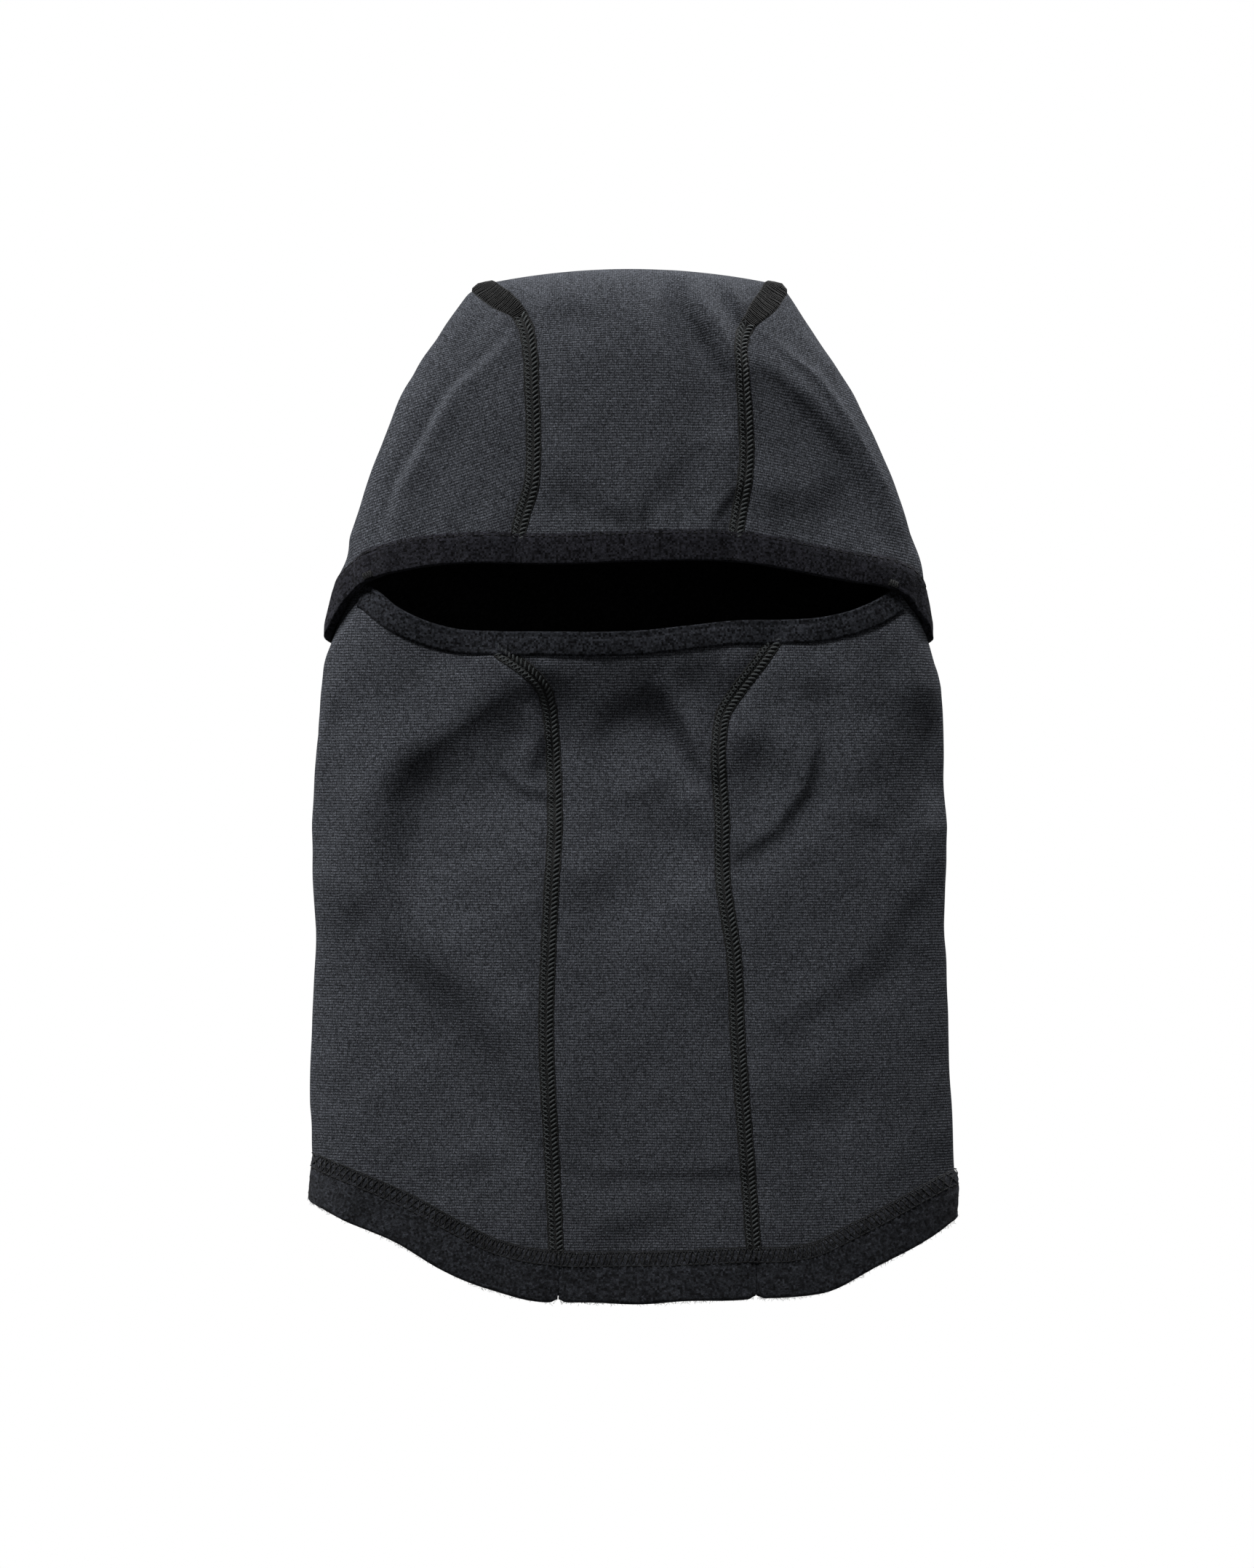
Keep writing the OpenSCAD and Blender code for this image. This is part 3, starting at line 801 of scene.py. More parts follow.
def jersey(name, turn=0.0):
    """Charcoal jersey face: fine knit, yarns of slightly different greys, and a soft fibre sheen."""
    look = Look(name)
    where, u, v = look.cloth_uv(turn)
    space = look.space()
    height, column, row = knit_pattern(look, u, v, space)
    yarn = look.cells(look.math("MULTIPLY", column, 2.0), look.math("MULTIPLY", row, 2.0))
    stretched = look.node("Mapping", {"Vector": where, "Scale": (0.8, 1.0, 1.0)}).outputs[0]
    streaks = look.noise(stretched, 0.0012, 2.0, 0.7)
    fibre = look.noise(space, 0.0004, 2.0, 0.6)
    patches = look.noise(space, 0.045, 3.0)
    shade = look.times(look.ramp(height, 0, 1, 0.35, 1.65), look.vary(streaks, 0.92, 1.08),
                       look.vary(fibre, 0.4, 1.6), look.ramp(yarn, 0, 1, 0.4, 1.6),
                       look.vary(patches, 0.94, 1.06))
    return look.finish(look.tint((0.0338, 0.0360, 0.0415), shade), look.ramp(height, 0, 1, 0.95, 0.8),
                       look.math("MULTIPLY_ADD", fibre, 0.5, height), depth=0.00009,
                       sheen=0.015, sheen_tint=(0.62, 0.64, 0.70), sheen_rough=0.45, specular=0.04)


def fleece(name, colour, sheen):
    """Brushed fleece: tangled fibre, with clumps."""
    look = Look(name)
    space = look.space()
    _, u, v = look.cloth_uv()
    clumps = look.noise(space, 0.0018, 5.0, 0.7)
    fibre = look.noise(space, 0.00045, 3.0, 0.7)
    shade = look.times(look.ramp(clumps, 0.3, 0.72, 0.35, 1.65), look.vary(fibre, 0.4, 1.6),
                       look.speckle(u, v, 0.0009, 0.15, 1.85))
    return look.finish(look.tint(colour, shade), 0.95, look.math("MULTIPLY_ADD", fibre, 0.45, clumps),
                       depth=0.0009, sheen=sheen, sheen_tint=(0.6, 0.6, 0.66), sheen_rough=0.6, specular=0.1)


def tape(name, colour):
    """Knitted elastic binding: fine ribs along the tape, and a peach-skin face."""
    look = Look(name)
    _, u, v = look.cloth_uv()
    space = look.space()
    ribs_and_picks = look.times(look.wave(v, 0.00055), look.wave(u, 0.0005))
    grain = look.noise(space, 0.00055, 4.0, 0.75)
    worn = look.noise(space, 0.012, 3.0)
    shade = look.times(look.vary(grain, 0.3, 1.7), look.vary(worn, 0.88, 1.12),
                       look.speckle(u, v, 0.0008, 0.1, 1.9))
    return look.finish(look.tint(colour, shade), 0.9, look.math("MULTIPLY_ADD", ribs_and_picks, 0.12, grain),
                       depth=0.00025, sheen=0.02, sheen_tint=(0.62, 0.62, 0.68), sheen_rough=0.45,
                       specular=0.06)


def thread(name, colour):
    """Spun polyester thread: a fine twist and a low lustre."""
    look = Look(name)
    space = look.space()
    fibre = look.noise(space, 0.0003, 3.0, 0.7)
    lengths = look.noise(space, 0.0025, 2.0)
    shade = look.times(look.vary(fibre, 0.6, 1.45), look.vary(lengths, 0.8, 1.2))
    return look.finish(look.tint(colour, shade), 0.75, fibre, depth=0.00015,
                       sheen=0.12, sheen_tint=(0.6, 0.6, 0.62), sheen_rough=0.4, specular=0.25)


def woven_label(name):
    """Satin label tape: close warp threads with floats."""
    look = Look(name)
    _, u, v = look.cloth_uv()
    height = look.math("MULTIPLY_ADD", look.wave(v, 0.0009), 0.3, look.wave(u, 0.0004))
    grain = look.noise(look.space(), 0.003, 3.0)
    shade = look.times(look.ramp(height, -1.3, 1.3, 0.85, 1.1), look.vary(grain, 0.93, 1.05))
    return look.finish(look.tint((0.24, 0.24, 0.25), shade), 0.5, height, depth=0.00008,
                       sheen=0.1, sheen_tint=(1, 1, 1), sheen_rough=0.4, specular=0.4)


JERSEY = jersey("charcoal_jersey")
# On the hood's sides the knit lies a little across
BIAS = {-1: jersey("charcoal_jersey_bias_right", -0.30), 1: jersey("charcoal_jersey_bias_left", 0.22)}
# The inside's fleece is the hem's fleece painted about three times darker: painted shade for the inside of
# the hood and gaiter, seen through the slit.
SHADED_INSIDE = fleece("fleece_inside_painted_shade", (0.0045, 0.0045, 0.005), 0.02)
HEM_FLEECE = fleece("fleece_hem", (0.0150, 0.0162, 0.0194), 0.05)
BROW_TAPE = tape("brow_tape", (0.0090, 0.0091, 0.0115))
MASK_TAPE = tape("mask_tape", (0.0122, 0.0131, 0.0158))
THREAD = thread("black_thread", (0.0017, 0.0019, 0.0019))
# The flatlock's looper lumps and crossed threads use the black thread painted about sixteen times lighter: a
# painted highlight on the raised threads.
LIT_LUMP_THREAD = thread("seam_thread_painted_highlight", (0.0270, 0.0305, 0.0315))
LABEL = woven_label("label_tape")


def piece(node, suffix, parts, materials, body="garment"):
    """The piece that is seen in place of a CAD node."""
    return new_object(f"{node}_{suffix}", parts, materials, body, [node])


def threads(node, parts, suffix="threads", materials=(THREAD,), body="garment"):
    return piece(node, suffix, parts, materials, body)


# ---------------------------------------------------------------- fabric panels

ROW_STEP = 1.5
BACK_V = 2 * DOME_Z + math.pi * (GARMENT_H - DOME_Z)
# How far the cut edges lie inside the bindings and the hem
EDGE_FOLD, HEM_FOLD = 0.6, 1.6
# The side panels thin out towards their tip just under the crest, where front and back come together
TIP_V = DOME_Z + (GARMENT_H - DOME_Z) * math.radians(72)
TIP_T, TIP_RUN = 0.5, 30.0


def seam_phi(side, x, half):
    return side * np.arcsin(clamp(x / half, 0, 0.98))


def front_seam(side):
    return lambda v: seam_phi(side, SEAM_FRONT[side](v), gaiter_half(v))


def crown_seam(side):
    def at(v):
        z, turn = hood_rise(v)
        return seam_phi(side, np.where(turn > 0, SEAM_CROWN[side](z), SEAM_CROWN_BACK(z)), hood_half(z))
    return at


def back_crown_seam(side):
    def at(v):
        z = hood_rise(v)[0]
        return side * (math.pi - seam_phi(1, SEAM_CROWN_BACK(z), hood_half(z)))
    return at


def fixed(phi):
    return lambda v: phi + 0 * v


def leftward(side, inner, outer):
    """A panel's two seams in the order in which it is built, towards the wearer's left."""
    return (inner, outer) if side > 0 else (outer, inner)


def panel(node, suffix, kind, seams, edges, size, face=JERSEY, thin_tip=False, body="garment"):
    """A fabric panel between two seams, given as phi at v, and two edges, given as v at phi."""
    columns, rows = (int(length / ROW_STEP) + 2 for length in size)
    u, t = np.meshgrid(np.linspace(0, 1, columns), np.linspace(0, 1, rows))
    v = 200 + 0 * u
    # the seams depend on the height and the edges on the seams, so both settle together
    for _ in range(8):
        phi = phi_of(mix(*(arc_of(seam(v)) for seam in seams), u))
        v = mix(*(edge(phi) for edge in edges), t)
    a, b = tangents(kind, phi, v)
    half = hood_half(hood_rise(v)[0]) if kind == "hood" else gaiter_half(v)
    uv = np.stack([arc_of(phi) * half / MEAN_HALF, v], -1)
    thick = mix(FABRIC_T, TIP_T, smooth((v - TIP_V + TIP_RUN) / TIP_RUN)) if thin_tip else FABRIC_T
    cloth = sheet(surface(kind, phi, v), unit(np.cross(a, b)), uv, thick)
    # The inner face and the cut edges take the inside's fleece, painted darker as shade.
    return piece(node, suffix, [cloth], [face, SHADED_INSIDE], body)


def hood_low(phi):
    return hood_edge(phi) + EDGE_FOLD


def gaiter_low(phi):
    return hem_edge(phi) + HEM_FOLD


def gaiter_high(phi):
    return gaiter_edge(phi) - EDGE_FOLD


GAITER_EDGES = (gaiter_low, gaiter_high)

panel("hood_center_panel", "cloth", "hood", (crown_seam(-1), crown_seam(1)),
      (hood_low, lambda phi: BACK_V - hood_low(math.pi - phi)), (96, 560))
for side, word in SIDES:
    panel(f"hood_side_panel_{word}", "cloth", "hood", leftward(side, crown_seam(side), back_crown_seam(side)),
          (hood_low, fixed(TIP_V)), (190, 150), face=BIAS[side], thin_tip=True)

# The gaiter's front moves with the mask, so it is built in a right and a left half that meet at the middle.
MOVING = []
for side, word in SIDES:
    middle, seam, side_seam = fixed(0.0), front_seam(side), fixed(side * SIDE_SEAM_PHI)
    MOVING.append((side, panel("gaiter_front_panel", f"{word}_half", "gaiter", leftward(side, middle, seam),
                               GAITER_EDGES, (44, 268), body=None)))
    MOVING.append((side, panel(f"gaiter_side_panel_{word}", "cloth", "gaiter",
                               leftward(side, seam, side_seam), GAITER_EDGES, (108, 268), body=None)))
panel("gaiter_back_panel", "cloth", "gaiter", (fixed(SIDE_SEAM_PHI), fixed(2 * math.pi - SIDE_SEAM_PHI)),
      GAITER_EDGES, (240, 262))


# ---------------------------------------------------------------- seams

STITCH = 1.85
FLAT_HALF = FLATLOCK_W / 2
# Threads of one flatlock stitch, as (along, right, out), where along is in stitches: the looper's lumps on
# one side of the seam, and the threads that cross the other side there and back
LUMP = [(-0.52, 0.25, 0.1), (-0.3, 0.6, 0.55), (-0.02, 1.35, 0.78), (0.26, 2.1, 0.6), (0.48, 2.75, 0.1)]
CROSS = [(-0.5, -0.3, 0.15), (-0.2, -1.1, 0.66), (0.15, -1.9, 0.66), (0.5, -2.75, 0.12)]
CROSS_BACK = [(0.5, -0.3, 0.1), (0.2, -1.1, 0.50), (-0.15, -1.9, 0.50), (-0.5, -2.75, 0.1)]
# Where the seam is pulled open over the crown's corners
LADDER_HALF, LADDER_EASE, LADDER_PITCH = 5.0, 14.0, 0.8
LADDER_SHARE = np.array([-0.98, -0.8, -0.3, 0.3, 0.8, 0.98])
LADDER_OUT = np.array([0.05, 0.62, 0.72, 0.72, 0.62, 0.05])
SEAM_END = 9.0


def strip_profile(half, top, dents=(), columns=9):
    """The two skins of a flat strip. dents are places where needle threads pull it in."""
    edge, sink = 0.05, -0.35
    r = np.linspace(-half, half, columns)
    h = edge + (top - edge) * np.clip((half - np.abs(r)) / 0.5, 0, 1) ** 0.5
    for dent in dents:
        h = h - 0.22 * np.exp(-((r - dent) / 0.35) ** 2)
    return np.stack([r, h], -1), np.stack([r, np.full(columns, sink)], -1)


def spaced(start, end, pitch):
    """The middles of as many whole stitches as fit."""
    count = max(1, int((end - start) / pitch))
    return start + (np.arange(count) + 0.5) * (end - start) / count


def stitches(line, start, end, pitch, shape, radius, jitter=0.04):
    """The same little thread at every stitch from start to end. shape is as for LUMP."""
    at = spaced(start, end, pitch)
    shape = np.asarray(shape, float)
    along = at[:, None] + shape[None, :, 0] * pitch
    right = shape[None, :, 1] + RNG.normal(0, jitter, (len(at), 1))
    out = shape[None, :, 2] + RNG.normal(0, jitter / 2, (len(at), 1))
    return tubes(line.at(np.clip(along, 0, line.length), right, out), radius)


def in_second(part):
    """The part in its piece's second material."""
    return {**part, "slots": 1}


def needle_row(right, out=0.28):
    return [(-0.42, right, out - 0.2), (-0.25, right, out), (0.25, right, out), (0.42, right, out - 0.2)]


def places_up(low, high, step=2.0):
    return np.linspace(low, high, int((high - low) / step) + 2)


def flatlock(line, start, end):
    """Four-needle flatlock: three needle rows, looper lumps on one side and crossed threads on the other."""
    places = places_up(start, end, 0.9)
    wobble = 0.12 * np.sin(places * 0.9) + 0.08 * np.sin(places * 0.37 + 1)
    skins = strip_profile(FLAT_HALF, 0.42, dents=(-2.75, 0, 2.75), columns=15)
    parts = [band(line, *skins, places, right=wobble[:, None])]
    # the looper lumps and crossed threads go in the second material, the thread painted lighter as a
    # highlight
    for shape, radius in ((LUMP, 0.44), (CROSS, 0.30), (CROSS_BACK, 0.24)):
        parts.append(in_second(stitches(line, start, end, STITCH, shape, radius)))
    for right in (-2.9, 0.0, 2.9):
        parts.append(stitches(line, start, end, STITCH, needle_row(right), 0.19))
    return parts


def ladder(line, start, end):
    """Where the seam is pulled open: close cross threads over a wider strip."""
    places = places_up(start, end, 0.9)
    swell = smooth((places - start) / LADDER_EASE) * smooth((end - places) / LADDER_EASE)
    outer, inner = strip_profile(1.0, 0.5)
    half = mix(FLAT_HALF, LADDER_HALF, swell)
    wider = np.concatenate([outer, inner[::-1]])[:, 0] * (half[:, None] - 1)
    at = spaced(start, end, LADDER_PITCH)
    half = np.interp(at, places, half)
    slant = RNG.normal(0, 0.16, (len(at), 1))
    along = at[:, None] + slant * LADDER_SHARE[None] + RNG.normal(0, 0.06, (len(at), 1))
    high = LADDER_OUT[None] + RNG.normal(0, 0.06, (len(at), 1))
    return [band(line, outer, inner, places, right=wider),
            tubes(line.at(along, half[:, None] * LADDER_SHARE[None], high), 0.26)]


def on_edge(edge, seam, near):
    """The height at which a seam meets an edge, from a height near it."""
    return float(edge(seam(np.array(near))))


# The seams' black thread, and the same thread painted lighter as a highlight for the lumps
SEAM_THREADS = (THREAD, LIT_LUMP_THREAD)
for side, word in SIDES:
    seam = front_seam(side)
    v = places_up(on_edge(hem_edge, seam, 20.0) + 16, on_edge(gaiter_edge, seam, 258.0) - 6)
    line = Line("gaiter", seam(v), v)
    MOVING.append((side, threads(f"front_flatlock_{word}", flatlock(line, 0, line.length),
                                 materials=SEAM_THREADS, body=None)))

    seam = fixed(SIDE_SEAM_PHI)
    v = places_up(on_edge(hem_edge, seam, 0.0) + 14, on_edge(gaiter_edge, seam, 0.0) - 3)
    line = Line("gaiter", side * seam(v), v)
    threads(f"side_flatlock_{word}", flatlock(line, 0, line.length), materials=SEAM_THREADS)

    seam = crown_seam(side)
    heel = BACK_V - float(hood_edge(math.pi - seam(np.array(BACK_V - 240.0)))) - SEAM_END
    v = places_up(on_edge(hood_edge, seam, 300.0) + SEAM_END, heel)
    line = Line("hood", seam(v), v, -5.5, 5.5)
    run = run_along(surface("hood", seam(v), v))
    opens = float(np.interp(400 if side < 0 else 396, v, run))
    closes = float(np.interp(CREST_V + 48, v, run))
    parts = flatlock(line, 0, opens) + ladder(line, opens - 1.0, closes)
    parts += flatlock(line, closes - 1.0, line.length)
    threads(f"crown_flatlock_{word}", parts, materials=SEAM_THREADS)


# ---------------------------------------------------------------- bindings

# Points of a folded tape's skins: in front, round the fold and behind
FRONT_N, FOLD_N, BACK_N = 16, 7, 10
LOCK_PITCH, LOCK_OUT, LOCK_RADIUS = 2.5, 0.72, 0.2


def folded_tape(wide, back, loft, lead=0.62, groove=None):
    """The two skins of a tape folded over an edge: wide in front, back behind, and lead beyond the edge.

    groove is where the stitching pulls the front in.
    """
    turn = np.linspace(0, math.pi, FOLD_N + 2)[1:-1]
    r = np.linspace(wide, 0.3, FRONT_N)
    front = 0.35 + loft * np.sin(np.clip((wide - r) / wide, 0, 1) ** 0.8 * math.pi * 0.62 + 0.35) ** 0.7
    if groove is not None:
        front = front - 0.35 * np.exp(-((r - groove) / 0.55) ** 2)
    front[0] = 0.1
    r_back = np.linspace(0.3, back, BACK_N)
    high, low = front[-1], -FABRIC_T - 0.75
    mid, rad = (high + low) / 2, (high - low) / 2
    outer = np.concatenate([np.stack([r, front], -1),
                            np.stack([0.3 - lead * np.sin(turn), mid + rad * np.cos(turn)], -1),
                            np.stack([r_back, np.where(r_back > back - 0.2, -FABRIC_T - 0.1, low)], -1)])
    inner_r = np.concatenate([np.linspace(wide - 0.2, 0.5, FRONT_N), np.full(FOLD_N, 0.45),
                              np.linspace(0.5, back - 0.2, BACK_N)])
    inner_h = np.concatenate([np.full(FRONT_N, 0.02), np.linspace(-0.1, -FABRIC_T + 0.1, FOLD_N),
                              np.full(BACK_N, -FABRIC_T - 0.02)])
    return outer, np.stack([inner_r, inner_h], -1)


def lockstitch(line, start, end, right):
    shape = [(-0.36, right, LOCK_OUT - 0.35), (-0.22, right, LOCK_OUT), (0.22, right, LOCK_OUT),
             (0.36, right, LOCK_OUT - 0.35)]
    return stitches(line, start, end, LOCK_PITCH, shape, LOCK_RADIUS, jitter=0.05)


def tape_band(line, skins, places, size, amount, loop=False):
    """A tape along a line, lying a little unevenly, in waves of a few times the size."""
    wave = sum(np.sin(places / size * k + phase) for k, phase in ((1.0, 0.3), (1.7, 2.1), (2.9, 4.4))) / 3
    return band(line, *skins, places, loop, out=(amount * wave)[:, None])


# The hood's binding runs round the whole lower edge, closed at the back
GROOVE = 1.3
phi = np.linspace(math.pi, -math.pi, 721)
BROW_LINE = Line("hood", phi, hood_edge(phi), -1.5, 13.5)
skins = folded_tape(BROW_TAPE_W, BROW_TAPE_W - 1.5, 0.85, groove=BROW_TAPE_W - GROOVE)
places = np.arange(0, BROW_LINE.length - 0.8, 1.6)
piece("brow_binding", "tape", [tape_band(BROW_LINE, skins, places, 9, 0.12, loop=True)],
      [BROW_TAPE])
threads("brow_binding_stitch", [lockstitch(BROW_LINE, 0, BROW_LINE.length, BROW_TAPE_W - GROOVE)], "thread")

# The mask's binding, in two halves that meet at the middle
MASK_GROOVE = 1.9
MASK_REACH = math.radians(72)
phi = np.linspace(-MASK_REACH, MASK_REACH, 361)
MASK_LINE = Line("gaiter", phi, gaiter_edge(phi), -1.5, 11)
middle = float(np.interp(0, MASK_LINE.at(MASK_LINE.along)[:, 0], MASK_LINE.along))
skins = folded_tape(MASK_TAPE_W, MASK_TAPE_W - 1.5, 0.75, groove=MASK_GROOVE)
for (side, word), start, end in zip(SIDES, (0, middle), (middle, MASK_LINE.length)):
    tape_half = tape_band(MASK_LINE, skins, np.linspace(start, end, 78), 7, 0.1)
    MOVING.append((side, piece("mask_binding", f"{word}_half", [tape_half], [MASK_TAPE], None)))
    stitch_half = lockstitch(MASK_LINE, start, end, MASK_TAPE_W - MASK_GROOVE)
    MOVING.append((side, threads("mask_binding_stitch", [stitch_half], f"{word}_half", body=None)))


# ---------------------------------------------------------------- bar tacks at the corners of the slit

TACK_PHI = math.radians(62)
TACK_ROWS, TACK_REACH = 6, 2.3


def along_at_phi(line, phi):
    """How far along a line that runs towards lower phi it passes a given phi."""
    return float(np.interp(-phi, -line.phi, line.along))


for side, word in SIDES:
    centre = along_at_phi(BROW_LINE, side * TACK_PHI)
    rows = []
    for k in range(TACK_ROWS):
        reach = TACK_REACH - 0.12 * (k % 3)
        right = 0.7 + 0.42 * k
        rows.append([(centre + share * reach, right, out)
                     for share, out in ((-1, 0.5), (-0.8, 1.32), (0, 1.46), (0.8, 1.32), (1, 0.5))])
    for x in (-1.5, -0.5, 0.5, 1.5):
        rows.append([(centre + x, right, out)
                     for right, out in ((0.3, 0.6), (0.8, 1.55), (1.8, 1.68), (2.9, 1.5), (3.3, 0.6))])
    rows = np.array(rows)
    threads(f"bartack_{word}", [tubes(BROW_LINE.at(rows[..., 0], rows[..., 1], rows[..., 2]), 0.24)])


# ---------------------------------------------------------------- the hem

phi = np.linspace(SIDE_SEAM_PHI, SIDE_SEAM_PHI - 2 * math.pi, 901)
HEM_LINE = Line("gaiter", phi, hem_edge(phi), -4, 24)
HEM_LOFT = 1.35
HEM_OUTER, HEM_INNER = folded_tape(HEM_BAND_W, HEM_BAND_W - 2, HEM_LOFT, lead=1.5)
# Where two lengths of the band meet, its edge is notched and its face dips; between them it wanders a little
JOIN_GAP, JOIN_REACH, NOTCH, JOIN_DIP = 0.15, 1.7, 1.3, 0.5
EDGE_WANDER, FUZZ = 0.35, 0.16


def hem_skin(right):
    """How far out the band's front face is."""
    return np.interp(-right, -HEM_OUTER[:FRONT_N, 0], HEM_OUTER[:FRONT_N, 1])


def fibres(start, end, per_mm, right_range, down):
    """Short loose fibres. down is how much they hang below the edge, against standing off the face."""
    count = int((end - start) * per_mm)
    at = RNG.uniform(start, end, count)
    right = RNG.uniform(*right_range, count)
    root = np.where(right < 0.4, RNG.uniform(-FABRIC_T, 1.2, count), hem_skin(right) - 0.15)
    long = RNG.uniform(0.45, 1.25, count)
    lean = RNG.normal(0, 0.7, count)
    drop = -down * np.abs(RNG.normal(0.75, 0.3, count)) + (1 - down) * RNG.normal(0, 0.6, count)
    off = (1 - down) * RNG.uniform(0.25, 0.8, count) + down * RNG.normal(0, 0.45, count)
    curl = RNG.normal(0, 0.25, (count, 3))
    t = np.array([0.0, 0.45, 1.0])
    along = at[:, None] + (lean * long)[:, None] * t + curl[:, :1] * t * (1 - t) * 4
    r = right[:, None] + (drop * long)[:, None] * t + curl[:, 1:2] * t * (1 - t) * 2
    h = root[:, None] + (off * long)[:, None] * t + curl[:, 2:] * t * (1 - t) * 2
    return tubes(HEM_LINE.at(np.clip(along, 0, HEM_LINE.length), r, h), 0.055, sides=4, tip=0.5)


joins = [0.0]
for side in (1, -1):
    joins.append(along_at_phi(HEM_LINE, float(front_seam(side)(np.array(10.0)))))
joins.append(along_at_phi(HEM_LINE, -SIDE_SEAM_PHI))
joins.append(HEM_LINE.length)
profile = np.concatenate([HEM_OUTER, HEM_INNER[::-1]])
low_edge = np.exp(-(np.maximum(profile[:, 0] + 1.5, 0) / 4) ** 2)
for word, start, end in zip(("left", "front", "right", "back"), joins[:-1], joins[1:]):
    start, end = start + JOIN_GAP, end - JOIN_GAP
    places = places_up(start, end, 1.1)
    near = sum(np.exp(-(gap / JOIN_REACH) ** 2) for gap in (places - start, end - places))[:, None]
    right = NOTCH * near * low_edge + EDGE_WANDER * np.sin(places / 6.3)[:, None] * low_edge
    fuzz = RNG.normal(0, 1, (len(places), len(HEM_OUTER)))
    fuzz = (fuzz + np.roll(fuzz, 1, 0) + np.roll(fuzz, 1, 1)) / 3
    out = np.zeros((len(places), len(profile)))
    out[:, :len(HEM_OUTER)] = FUZZ * fuzz - JOIN_DIP * near * (HEM_OUTER[:, 1] > 0)
    parts = [band(HEM_LINE, HEM_OUTER, HEM_INNER, places, right=right, out=out),
             fibres(start + 0.4, end - 0.4, 9, (-1.2, 1.2), 1.0),
             fibres(start + 0.4, end - 0.4, 7, (1.0, 13.0), 0.25)]
    piece(f"hem_band_{word}", "fleece", parts, [HEM_FLEECE])

# The cover seam: needle rows on the band and on the panel above it, and threads that cross between them
COVER_PITCH = 2.3
COVER_LOW, COVER_HIGH = HEM_BAND_W - 5.4, HEM_BAND_W + 0.3
low_out, high_out = float(hem_skin(COVER_LOW)), 1.0
mid_out = float(hem_skin(HEM_BAND_W - 3)) + 0.2
shapes = [(needle_row(COVER_LOW, low_out + 0.1), 0.24),
          (needle_row(COVER_HIGH, float(hem_skin(COVER_HIGH)) + 0.95), 0.24)]
for way in (1, -1):
    shapes.append(([(-0.5 * way, COVER_LOW, low_out), (-0.2 * way, COVER_LOW + 1.7, mid_out),
                    (0.15 * way, COVER_HIGH - 1.6, mid_out - 0.1), (0.4 * way, COVER_HIGH - 0.4, high_out),
                    (0.5 * way, COVER_HIGH, high_out - 0.5)], 0.2))
threads("hem_coverstitch",
        [stitches(HEM_LINE, 0, HEM_LINE.length, COVER_PITCH, shape, radius) for shape, radius in shapes])


# ---------------------------------------------------------------- nape seam and care label

NAPE_REACH = math.radians(72)
NAPE_RISE, NAPE_PITCH = 20.0, 2.6
phi = np.linspace(math.pi + NAPE_REACH, math.pi - NAPE_REACH, 241)
NAPE_LINE = Line("hood", phi, hood_edge(phi) + NAPE_RISE)
threads("nape_lap_stitch", [stitches(NAPE_LINE, 0, NAPE_LINE.length, NAPE_PITCH, needle_row(right, 0.3), 0.24)
                            for right in (-2.8, 2.8)])

LABEL_LOW, LABEL_HIGH = (corner[2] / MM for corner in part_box("care_label"))
LABEL_HALF = top_of("care_label", 0)
LABEL_INSET, LABEL_PITCH = 1.4, 2.4
v = places_up(LABEL_LOW, LABEL_HIGH)
LABEL_LINE = Line("gaiter", math.pi + 0 * v, v, -LABEL_HALF - 1, LABEL_HALF + 1)
r = np.linspace(-LABEL_HALF, LABEL_HALF, 25)
curl = 0.5 * np.abs(r / LABEL_HALF) ** 3
outer = np.stack([r, -FABRIC_T - 0.35 - curl], -1)
parts = [band(LABEL_LINE, outer, outer - [0, 0.45], np.linspace(0, LABEL_LINE.length, 33))]
for right in (LABEL_INSET - LABEL_HALF, LABEL_HALF - LABEL_INSET):
    parts.append(in_second(stitches(LABEL_LINE, 1, LABEL_LINE.length - 1, LABEL_PITCH,
                                    needle_row(right, -FABRIC_T - 0.95), 0.16)))
piece("care_label", "tape", parts, [LABEL, THREAD])


# ---------------------------------------------------------------- the gaiter's front pieces, with their transforms baked in

# Each half of the front, the gaiter's side panels, the front seams and the mask's binding has its transform
# baked into its mesh.
for side, moving in MOVING:
    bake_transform(moving)


# ---------------------------------------------------------------- floor, light and camera, in metres

def stage_look():
    """Pale matt paper that the camera sees as plain white."""
    look = Look("studio_paper")
    matt = look.node("BsdfDiffuse", {"Color": (0.08, 0.08, 0.08, 1)})
    white = look.node("Emission", {"Color": (1, 1, 1, 1), "Strength": 1.0})
    seen = look.node("LightPath").outputs["Is Camera Ray"]
    shader = look.node("MixShader", {0: seen, 1: matt.outputs[0], 2: white.outputs[0]})
    look.node("OutputMaterial", {"Surface": shader.outputs[0]})
    return look.material


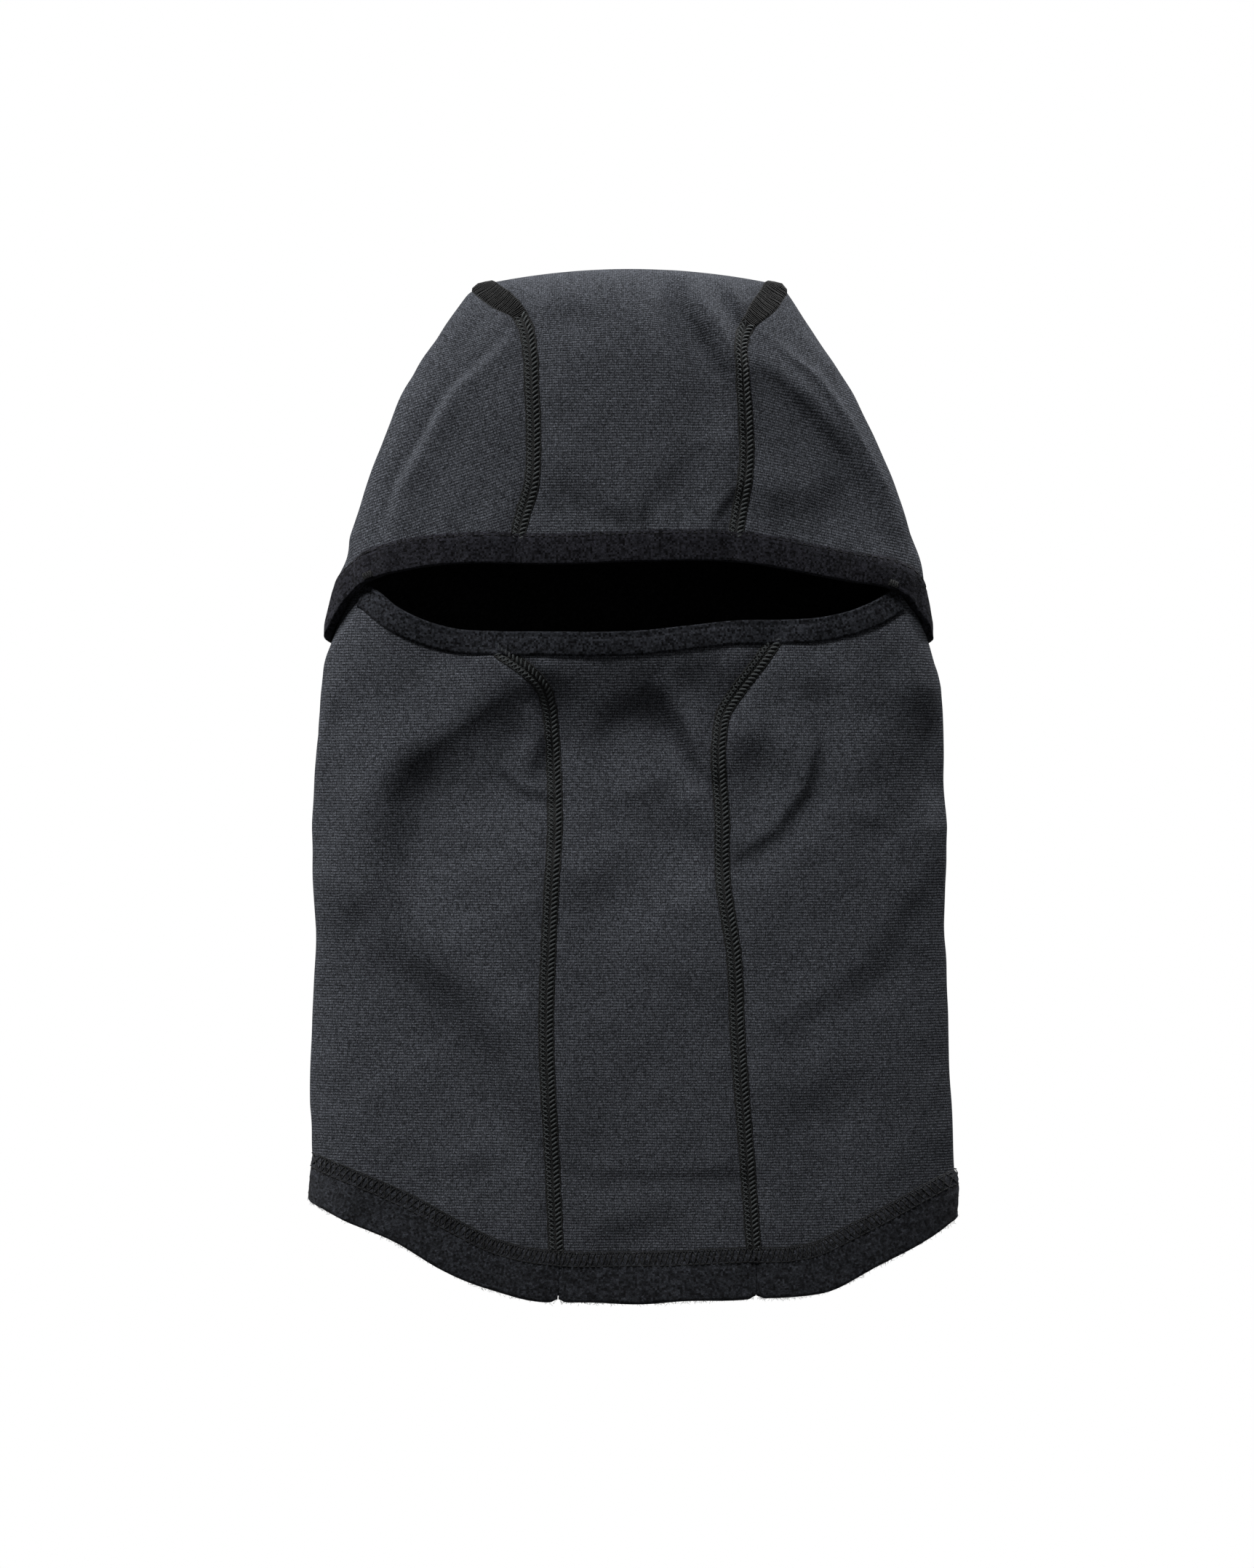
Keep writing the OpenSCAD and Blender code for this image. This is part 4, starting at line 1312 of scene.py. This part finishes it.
def studio():
    """A white floor that sweeps up into a backdrop, below and behind the garment."""
    width, floor_z, wall_y, wall_h, bend = 6.0, -0.11, 2.6, 4.0, 0.8
    arc = np.linspace(0, HALF_PI, 13)
    y = np.concatenate([[-4.5], wall_y - bend + bend * np.sin(arc), [wall_y]])
    z = np.concatenate([[floor_z], floor_z + bend - bend * np.cos(arc), [wall_h]])
    x = np.array([-width, width])
    verts = np.stack([np.broadcast_to(x, (len(y), 2)), np.broadcast_to(y[:, None], (len(y), 2)),
                      np.broadcast_to(z[:, None], (len(y), 2))], -1)
    sweep = new_object("studio_sweep", [{"verts": verts.reshape(-1, 3) / MM, "faces": grid_faces(len(y), 2)}],
                       [stage_look()])


def soft_light(name, place, target, size, power):
    lamp = bpy.data.lights.new(name, "AREA")
    lamp.shape, lamp.size, lamp.energy = "DISK", size, power
    obj = bpy.data.objects.new(name, lamp)
    obj.location = place
    obj.rotation_euler = (Vector(target) - Vector(place)).to_track_quat("-Z", "Y").to_euler()
    bpy.context.scene.collection.objects.link(obj)


studio()
LIT = (0, 0, 0.2)
soft_light("key", (-0.92, -1.60, 3.20), LIT, 0.80, 205)
soft_light("fill", (0.9, -2.0, 0.5), LIT, 1.2, 3.5)
soft_light("back_left", (-1.8, 0.35, 1.1), LIT, 0.7, 40)
soft_light("back_right", (1.1, 0.5, 2.0), LIT, 0.7, 70)

world = bpy.data.worlds.new("studio")
world.use_nodes = True
background = world.node_tree.nodes["Background"]
background.inputs["Color"].default_value = (1, 1, 1, 1)
background.inputs["Strength"].default_value = 0.03
bpy.context.scene.world = world
bpy.context.scene.view_settings.view_transform = "Standard"

FRAME_TALL = 0.625
FRAME_MIDDLE = (-0.0012, 0.2079)
camera = bpy.data.cameras.new("camera")
camera.lens, camera.sensor_width = 120, 36
camera_obj = bpy.data.objects.new("camera", camera)
camera_obj.location = (FRAME_MIDDLE[0], -FRAME_TALL * camera.lens / camera.sensor_width, FRAME_MIDDLE[1])
camera_obj.rotation_euler = (HALF_PI, 0, 0)
bpy.context.scene.collection.objects.link(camera_obj)
bpy.context.scene.camera = camera_obj
